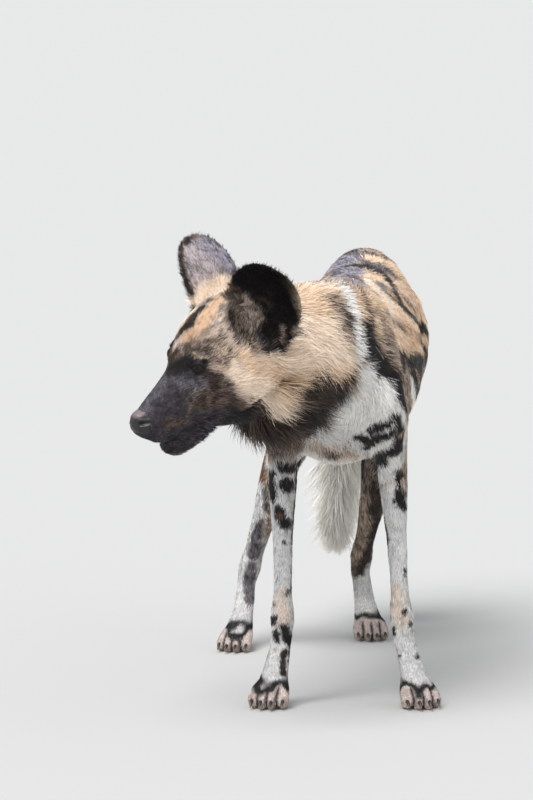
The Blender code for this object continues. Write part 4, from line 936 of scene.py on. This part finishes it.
def coat_piece(name, places, facing, spots, way, length, stand, width, shades, rows=(0.0, 0.45, 0.8)):
    """A piece of the coat: one flat tapered tuft for each root."""
    count = len(places)
    way = unit(way - facing * (way * facing).sum(axis=1)[:, None])
    side = np.cross(way, facing)
    swing = 0.22 * rng.normal(size=count) + 0.30 * noise(places, 0.022, 40)
    way = unit(way + side * swing[:, None])
    side = np.cross(way, facing)
    roll = rng.normal(size=count) * 0.35
    flatwise = side * np.cos(roll)[:, None] + facing * np.sin(roll)[:, None]
    length = length * rng.uniform(0.7, 1.2, count)
    stand = stand * rng.uniform(0.4, 1.8, count) + 0.0012 / length
    curl = rng.normal(size=count) * 0.10
    rings = []
    for s in (*rows, 1.0):
        rise = stand * (s - 0.45 * s * s)
        spot = places - facing * 0.0003
        spot = spot + way * (length * s)[:, None] + facing * (length * rise)[:, None]
        spot = spot + side * (length * curl * s * s)[:, None]
        rings.append(spot)
    thin = [1.0, 0.85, 0.5][: len(rows)]
    verts = []
    for k in range(len(rows)):
        half = (width * thin[k] / 2)[:, None] * flatwise
        verts += [rings[k] - half, rings[k] + half]
    verts.append(rings[-1])
    per = len(verts)
    points = np.stack(verts, axis=1).reshape(-1, 3)
    points[:, 2] = np.maximum(points[:, 2], FLOOR_GAP)
    base = (np.arange(count) * per)[:, None]
    loops = []
    for k in range(len(rows) - 1):
        loops.append(np.array([2 * k, 2 * k + 1, 2 * k + 3, 2 * k, 2 * k + 3, 2 * k + 2]))
    last = 2 * (len(rows) - 1)
    loops.append(np.array([last, last + 1, last + 2]))
    pattern = np.concatenate(loops)
    corners = (base + pattern[None, :]).ravel()
    faces = len(corners) // 3
    mesh = bpy.data.meshes.new(name)
    mesh.vertices.add(len(points))
    mesh.vertices.foreach_set("co", points.ravel())
    mesh.loops.add(len(corners))
    mesh.loops.foreach_set("vertex_index", corners)
    mesh.polygons.add(faces)
    mesh.polygons.foreach_set("loop_start", np.arange(faces) * 3)
    mesh.polygons.foreach_set("loop_total", np.full(faces, 3))
    mesh.update(calc_edges=True)
    mesh.shade_smooth()
    # Each tuft is painted darker at its root and lighter at its tip (0.75, 0.95, 1.15): painted shade at the
    # roots, painted light at the tips.
    root_shade_tip_light = np.concatenate([np.repeat([0.75, 0.95][min(k, 1)], 2) for k in range(len(rows))] + [[1.15]])
    hue = shades[:, None, :] * root_shade_tip_light[None, :, None]
    paint = mesh.color_attributes.new("painted", "FLOAT_COLOR", "POINT")
    paint.data.foreach_set("color", np.concatenate([hue, np.ones((count, per, 1))], axis=2).ravel())
    patch = [(-0.0012 + 0.0024 * (k % 2), -0.0015 + 0.003 * (k // 2) / len(rows)) for k in range(per - 1)]
    patch = np.array([*patch, (0.0, 0.0015)])
    uv = np.clip(spots[:, None, :] + patch[None, pattern, :], 0, 1)
    layer = mesh.uv_layers.new(name="OFBake")
    layer.data.foreach_set("uv", uv.ravel())
    piece = new_object(name, mesh)
    piece.data.materials.append(HAIR)
    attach(piece, "root")
    return piece


def fur(name, share, count, width, rows=(0.0, 0.45, 0.8), longer=1.0):
    places, facing, spots = roots(share, count)
    clear = np.ones(count, dtype=bool)
    for side in EYES:
        clear &= np.linalg.norm(places - np.array(EYES[side]), axis=1) > EYE_RADIUS + 0.0006
    places, facing, spots = places[clear], facing[clear], spots[clear]
    count = len(places)
    flat = places - np.array(MOVED)
    local = in_head(places)
    way, length, stand = lie_at(flat, BODY_LIE)
    folded = local.copy()
    folded[:, 0] = np.abs(folded[:, 0])
    head_way, head_length, head_stand = lie_at(folded, HEAD_LIE)
    head_way[:, 0] *= np.sign(local[:, 0])
    head_way = head_way @ np.array(HEAD.to_3x3()).T
    on_head = share_between(local[:, 1], 0.050, 0.000) * share_between(flat[:, 1], -0.10, -0.16)
    way = way * (1 - on_head)[:, None] + head_way * on_head[:, None]
    length = length * (1 - on_head) + head_length * on_head
    stand = stand * (1 - on_head) + head_stand * on_head
    away = ear_distances(places)
    for side in EARS:
        home = np.array(EARS[side].inverted())
        own = places @ home[:3, :3].T + home[:3, 3]
        open_way = facing @ home[:3, :3].T
        near = share_between(away, 0.008, 0.004) * (np.sign(local[:, 0]) == side)
        rim = share_between(np.abs(open_way[:, 1]), 0.75, 0.45)
        inside = share_between(open_way[:, 1], 0.1, -0.2)
        spread = own * np.array([1.0, 0.0, 1.0]) + np.array([0, 0, 0.02])
        spread = unit(spread) @ home[:3, :3]
        way = way * (1 - near)[:, None] + spread * near[:, None]
        ear_length = 0.007 + 0.007 * inside * share_between(own[:, 2], 0.10, 0.03)
        length = length * (1 - near) + ear_length * near
        stand = stand * (1 - near) + (0.08 + 0.30 * inside + 0.25 * rim) * near
    lying = unit(way - facing * (way * facing).sum(axis=1)[:, None])
    seat = places + lying * (0.7 * length * longer * share_between(away, 0.004, 0.008))[:, None]
    kinds = painted(seat + rng.normal(size=(count, 3)) * 0.0009, facing)
    luck = 0.45 * rng.random(count) + 0.55 * (0.5 + 0.5 * noise(flat, 0.006, 30))
    pale = np.clip((kinds[:, 6] - luck) / 0.25 + 0.5, 0, 1)[:, None]
    shades = (kinds[:, :3] + (kinds[:, 3:6] - kinds[:, :3]) * pale) * rng.uniform(0.8, 1.2, count)[:, None]
    return coat_piece(name, places, facing, spots, way, length * longer, stand, width(length), shades, rows)


centre_flat = CENTRES - np.array(MOVED)
centre_local = in_head(CENTRES)
EAR_SHARE = share_between(ear_distances(CENTRES), 0.010, 0.006)
ON_FACE = share_between(centre_local[:, 1], 0.000, -0.020) * (centre_flat[:, 1] < -0.12) * (1 - EAR_SHARE)
ON_TAIL = share_between(centre_flat[:, 1], 0.630, 0.650) * (centre_flat[:, 2] > 0.13)
ON_LEGS = share_between(centre_flat[:, 2], 0.36, 0.34) * (1 - ON_TAIL)
ON_NECK = share_between(centre_flat[:, 1], 0.02, -0.02) * (1 - ON_FACE) * (1 - ON_LEGS) * (1 - EAR_SHARE)
ON_CHEEKS = share_between(centre_local[:, 1], -0.070, -0.020) * share_between(centre_local[:, 1], 0.050, 0.010)
ON_CHEEKS *= share_between(centre_local[:, 2], 0.055, 0.020) * (centre_flat[:, 1] < -0.06) * (1 - EAR_SHARE)
ON_TRUNK = (1 - ON_FACE) * (1 - ON_TAIL) * (1 - ON_LEGS) * (1 - ON_NECK) * (1 - EAR_SHARE)
short = (0.0, 0.55)


def hair_width(root, slope, most=0.0014):
    return lambda length: np.minimum(root + slope * length, most)


front = centre_flat[:, 1] < 0.25
fur("coat_face", ON_FACE, 66000, hair_width(0.0004, 0.04, 0.0009), short)
fur("coat_ears", EAR_SHARE, 47000, hair_width(0.0004, 0.03), short)
fur("coat_cheeks", ON_CHEEKS, 22000, hair_width(0.0004, 0.022), (0.0, 0.45, 0.8), 1.45)
fur("coat_neck", ON_NECK, 39800, hair_width(0.0005, 0.019))
fur("coat_trunk_front", ON_TRUNK * front, 66000, hair_width(0.0006, 0.035), short)
fur("coat_trunk_rear", ON_TRUNK * ~front, 66000, hair_width(0.0006, 0.035), short)
fur("coat_forelegs", ON_LEGS * front, 52000, hair_width(0.0004, 0.055), short)
fur("coat_hindlegs", ON_LEGS * ~front, 50000, hair_width(0.0004, 0.055), short)

# The tail's brush: long hair all round the tail, hanging to its tip
BRUSH_COUNT = 30000
u = 1.5 + 5.3 * rng.random(BRUSH_COUNT) ** 0.8
rows = np.array([between(TAIL, value) for value in np.linspace(0, len(TAIL) - 1, 200)])
step = np.clip((u / (len(TAIL) - 1) * 199).astype(int), 0, 198)
core = rows[step]
ahead = unit(rows[step + 1, :3] - core[:, :3])
turn = rng.random(BRUSH_COUNT) * math.tau
side = unit(np.cross(ahead, np.array([1.0, 0, 0])))
deep = np.cross(side, ahead)
facing = side * np.cos(turn)[:, None] + deep * np.sin(turn)[:, None]
places = core[:, :3] + facing * core[:, 3:] * 0.9 + np.array(MOVED)
TREE_SKIN = tree_of(CENTRES)
spots = TRIANGLE_UV[[TREE_SKIN.find(place)[1] for place in places]].mean(axis=1)
grown = share_between(u, 1.5, 3.2) * share_between(u, 8.4, 4.8)
length = 0.030 + 0.055 * grown
stand = 0.10 + 0.10 * grown
kinds = painted(places, facing)
pale = np.clip((kinds[:, 6] - rng.random(BRUSH_COUNT)) / 0.4 + 0.5, 0, 1)[:, None]
shades = (kinds[:, :3] + (kinds[:, 3:6] - kinds[:, :3]) * pale) * rng.uniform(0.85, 1.1, BRUSH_COUNT)[:, None]
coat_piece("coat_tail", places, facing, spots, ahead, length, stand, 0.0010 + 0.010 * length, shades)

# The eyes
# Glossy dark balls with a brown iris, each under two lids that meet at its corners.
def sphere_colours(way):
    """Pupil, iris and the dark rim of the white, by how far round the ball from the way it looks."""
    turn = np.degrees(np.arccos(np.clip(way, -1, 1)))
    hue = np.tile((0.012, 0.009, 0.008), (len(way), 1))
    iris = share_between(turn, 44, 40)[:, None]
    hue += (np.array((0.027, 0.013, 0.008)) - hue) * iris
    hue += (np.array((0.012, 0.006, 0.003)) - hue) * (iris * share_between(turn, 32, 42)[:, None])
    hue += (np.array((0.0015, 0.0015, 0.0015)) - hue) * share_between(turn, 17, 15)[:, None]
    return hue


WET = painted_material("wet eye", 0.08, 0.12)
WET.node_tree.nodes["Principled BSDF"].inputs["Coat Weight"].default_value = 0.2
WET.node_tree.nodes["Principled BSDF"].inputs["Coat Roughness"].default_value = 0.03
LID = painted_material("lid", 0.75, 0.2)

for side, node in ((1, "eye_left"), (-1, "eye_right")):
    across, up, look = eye_frame(side)
    bm = bmesh.new()
    bmesh.ops.create_uvsphere(bm, u_segments=48, v_segments=40, radius=EYE_RADIUS)
    turned = look.to_track_quat("Z", "Y").to_matrix().to_4x4()
    bmesh.ops.transform(bm, matrix=Matrix.Translation(EYES[side]) @ turned, verts=bm.verts)
    mesh = bpy.data.meshes.new(node + "_ball")
    bm.to_mesh(mesh)
    bm.free()
    mesh.shade_smooth()
    way = (points_of(mesh) - np.array(EYES[side])) @ np.array(look) / EYE_RADIUS
    paint = mesh.color_attributes.new("painted", "FLOAT_COLOR", "POINT")
    paint.data.foreach_set("color", np.column_stack([sphere_colours(way), np.ones(len(way))]).ravel())
    mesh.materials.append(WET)
    ball = new_object(node + "_ball", mesh)
    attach(ball, "root")
    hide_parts(node)

    # Lids: one shell round an almond opening, its rim rolled, its outer edge sunk in the face
    opening = (math.radians(42), math.radians(40))
    lift, drop = math.radians(21), math.radians(20)
    rolls = ((0.0, -0.0010), (0.0, 0.0004), (0.04, 0.0010), (0.12, 0.0013), (0.35, 0.0012), (0.70, 0.0008), (1.0, 0.0004))
    around = 56
    bm = bmesh.new()
    rings = []
    for t, out in rolls:
        ring = []
        for j in range(around):
            a = math.tau * j / around
            wide = opening[0] if math.cos(a) > 0 else opening[1]
            tall = (lift if math.sin(a) > 0 else drop) * abs(math.sin(a)) ** 1.35
            u = wide * math.cos(a) * (1 - t) + math.radians(83) * math.cos(a) * t
            v = math.copysign(tall, math.sin(a)) * (1 - t) + math.radians(83) * math.sin(a) * t
            way = (look + across * math.tan(u) + up * math.tan(v)).normalized()
            ring.append(bm.verts.new(EYES[side] + way * (EYE_RADIUS + out)))
        rings.append(ring)
    for low, high in zip(rings, rings[1:]):
        for j in range(around):
            k = (j + 1) % around
            bm.faces.new((low[j], low[k], high[k], high[j]))
    bmesh.ops.recalc_face_normals(bm, faces=bm.faces)
    if bm.faces[0].normal.dot(look) < 0 and bm.faces[around * 3].normal.dot(look) < 0:
        bmesh.ops.reverse_faces(bm, faces=bm.faces)
    mesh = bpy.data.meshes.new("lids")
    bm.to_mesh(mesh)
    bm.free()
    mesh.shade_smooth()
    paint = mesh.color_attributes.new("painted", "FLOAT_COLOR", "POINT")
    paint.data.foreach_set("color", np.tile((0.008, 0.007, 0.007, 1.0), len(mesh.vertices)))
    mesh.materials.append(LID)
    lids = new_object("lids_" + node, mesh)
    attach(lids, "root")

    # Short hair on the lids, from near their rims to the face's own coat
    count = 2600
    t = 0.09 + 0.87 * rng.random(count) ** 0.8
    a = rng.random(count) * math.tau
    u = opening[0] * np.cos(a) * (1 - t) + math.radians(80) * np.cos(a) * t
    v = lift * np.sin(a) * (1 - t) + math.radians(80) * np.sin(a) * t
    facing = unit(np.array(look) + np.outer(np.tan(u), np.array(across)) + np.outer(np.tan(v), np.array(up)))
    places = np.array(EYES[side]) + facing * (EYE_RADIUS + 0.0010)
    spots = TRIANGLE_UV[[TREE_SKIN.find(place)[1] for place in places]].mean(axis=1)
    outward = unit(facing - np.array(look) * (facing @ np.array(look))[:, None])
    back = np.array(HEAD.to_3x3() @ Vector((side * 0.25, 1.0, 0.15)))
    kinds = painted(places, facing)
    shades = kinds[:, :3] * 1.2 + kinds[:, 3:6] * (0.35 * rng.random(count) ** 2)[:, None]
    size = 0.0026 + 0.0022 * t
    coat_piece("coat_lids_" + node, places, facing, spots, outward + 1.1 * back, size, 0.05 + 0 * t, 0.0003 + 0 * t, shades, short)


# The nose
# Bare pebbled leather over the tip of the muzzle, lifted a little off the skin and sunk at its edge.
bm = bmesh.new()
bm.from_mesh(skin.data)
home = HEAD.inverted()
bm.verts.ensure_lookup_table()


def on_leather(spot):
    return spot.y < -0.2150 + 0.25 * abs(spot.x) and spot.z > -0.0140 - 0.2 * abs(spot.x) and abs(spot.x) < 0.021


kept = [face for face in bm.faces if on_leather(home @ face.calc_center_median())]
bmesh.ops.delete(bm, geom=list(set(bm.faces) - set(kept)), context="FACES")
bmesh.ops.subdivide_edges(bm, edges=bm.edges, cuts=1, use_grid_fill=True)
bmesh.ops.smooth_vert(bm, verts=bm.verts, factor=0.4, use_axis_x=True, use_axis_y=True, use_axis_z=True)
bm.normal_update()
for vertex in bm.verts:
    vertex.co += vertex.normal * (-0.0004 if vertex.is_boundary else 0.0008)
mesh = bpy.data.meshes.new("nose_leather")
bm.to_mesh(mesh)
bm.free()
mesh.shade_smooth()
for layer in list(mesh.color_attributes):
    mesh.color_attributes.remove(layer)
mesh.materials.clear()
LEATHER = bpy.data.materials.new("nose leather")
LEATHER.use_nodes = True
nodes, links = LEATHER.node_tree.nodes, LEATHER.node_tree.links
shader = nodes["Principled BSDF"]
shader.inputs["Roughness"].default_value = 0.38
place = nodes.new("ShaderNodeTexCoord")
pebble = nodes.new("ShaderNodeTexVoronoi")
pebble.inputs["Scale"].default_value = 900
links.new(place.outputs["Object"], pebble.inputs["Vector"])
bump = nodes.new("ShaderNodeBump")
bump.inputs["Strength"].default_value = 0.5
bump.inputs["Distance"].default_value = 0.0004
bump.invert = True
links.new(pebble.outputs["Distance"], bump.inputs["Height"])
links.new(bump.outputs["Normal"], shader.inputs["Normal"])
source = nodes.new("ShaderNodeAttribute")
source.attribute_name = "painted"
links.new(source.outputs["Color"], shader.inputs["Base Color"])
mesh.materials.append(LEATHER)
local = in_head(points_of(mesh))
# The top and middle of the dark leather are painted paler and pinkish: a painted highlight.
pale = share_between(local[:, 2], 0.004, 0.010) * share_between(np.abs(local[:, 0]), 0.016, 0.006)
hue = np.array((0.012, 0.011, 0.013)) + np.array((0.16, 0.12, 0.12)) * pale[:, None]
paint = mesh.color_attributes.new("painted", "FLOAT_COLOR", "POINT")
paint.data.foreach_set("color", np.column_stack([hue, np.ones(len(hue))]).ravel())
leather = new_object("nose_leather", mesh)
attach(leather, "root")


# The claws
# A blunt, curved horn claw at the end of each toe, clear of the floor.
HORN = painted_material("horn", 0.4, 0.5)
bm = bmesh.new()
for spot, turn, size in PAWS:
    for n in (-1.5, -0.5, 0.5, 1.5):
        x = n * TOE_APART * 1.07
        front = -0.0345 + (0.011 if abs(n) > 1 else 0)
        rows = (
            (x, front + 0.003, 0.0128, 0.0028, 0.0036), (x, front - 0.003, 0.0125, 0.0027, 0.0034),
            (x, front - 0.0075, 0.0095, 0.0021, 0.0026), (x, front - 0.0112, 0.0048, 0.0010, 0.0011),
        )
        added(bm, tube(rows, steps=3, sides=14, place=paw_frame(spot, turn, size)))
mesh = bpy.data.meshes.new("claws")
bm.to_mesh(mesh)
bm.free()
mesh.shade_smooth()
low = share_between(points_of(mesh)[:, 2], 0.012, 0.005)[:, None]
hue = np.array((0.030, 0.024, 0.022)) + np.array((0.16, 0.12, 0.10)) * low
paint = mesh.color_attributes.new("painted", "FLOAT_COLOR", "POINT")
paint.data.foreach_set("color", np.column_stack([hue, np.ones(len(hue))]).ravel())
mesh.materials.append(HORN)
claws = new_object("claws", mesh)
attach(claws, "root")


# The feelers
# A few stiff dark hairs in rows on each side of the muzzle.
bm = bmesh.new()
for side in (-1, 1):
    for k in range(9):
        row, n = divmod(k, 3)
        root = Vector((side * (0.0175 + 0.0022 * n), -0.206 + 0.010 * n, -0.016 - 0.0075 * row))
        out = Vector((side * (1.0 - 0.1 * row), 0.55 + 0.12 * n, 0.10 - 0.22 * row)).normalized()
        long = 0.030 + 0.005 * n + 0.003 * rng.random()
        droop = Vector((0, 0.006, -0.005))
        rows = [
            (*(root + out * long * t + droop * t * t), 0.00028 * (1 - 0.8 * t))
            for t in (-0.08, 0.3, 0.65, 1.0)
        ]
        added(bm, tube(rows, side=Vector((0, 0, 1)), steps=2, sides=5, place=HEAD))
mesh = bpy.data.meshes.new("feelers")
bm.to_mesh(mesh)
bm.free()
mesh.shade_smooth()
paint = mesh.color_attributes.new("painted", "FLOAT_COLOR", "POINT")
paint.data.foreach_set("color", np.tile((0.012, 0.010, 0.010, 1.0), len(mesh.vertices)))
mesh.materials.append(HAIR)
feelers = new_object("feelers", mesh)
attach(feelers, "root")

# The floor and the light
floor_mesh = bpy.data.meshes.new("floor")
bm = bmesh.new()
bmesh.ops.create_grid(bm, x_segments=1, y_segments=1, size=40)
bm.to_mesh(floor_mesh)
bm.free()
floor = new_object("floor", floor_mesh)
floor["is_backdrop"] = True
material = bpy.data.materials.new("floor")
material.use_nodes = True
material.node_tree.nodes["Principled BSDF"].inputs["Base Color"].default_value = (0.52, 0.52, 0.51, 1)
material.node_tree.nodes["Principled BSDF"].inputs["Roughness"].default_value = 0.9
floor.data.materials.append(material)
world = bpy.data.worlds.new("studio")
bpy.context.scene.world = world
world.use_nodes = True
world.node_tree.nodes["Background"].inputs["Color"].default_value = (0.90, 0.93, 0.96, 1)
world.node_tree.nodes["Background"].inputs["Strength"].default_value = 0.64


def soft_sun(name, way, strength, spread):
    light = bpy.data.lights.new(name, "SUN")
    light.energy = strength
    light.angle = math.radians(spread)
    lamp = new_object(name, light)
    lamp.rotation_euler = Vector(way).to_track_quat("-Z", "Y").to_euler()


soft_sun("key", (0.42, 0.62, -1.15), 3.4, 38)
soft_sun("fill", (-0.9, 0.5, -0.6), 0.35, 80)
bpy.context.scene.view_settings.view_transform = "Standard"

DRESSED_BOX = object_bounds()
boxes = {"cad": CAD_BOX, "dressed": DRESSED_BOX}
{name: [list(corner) for corner in box] for name, box in boxes.items()}
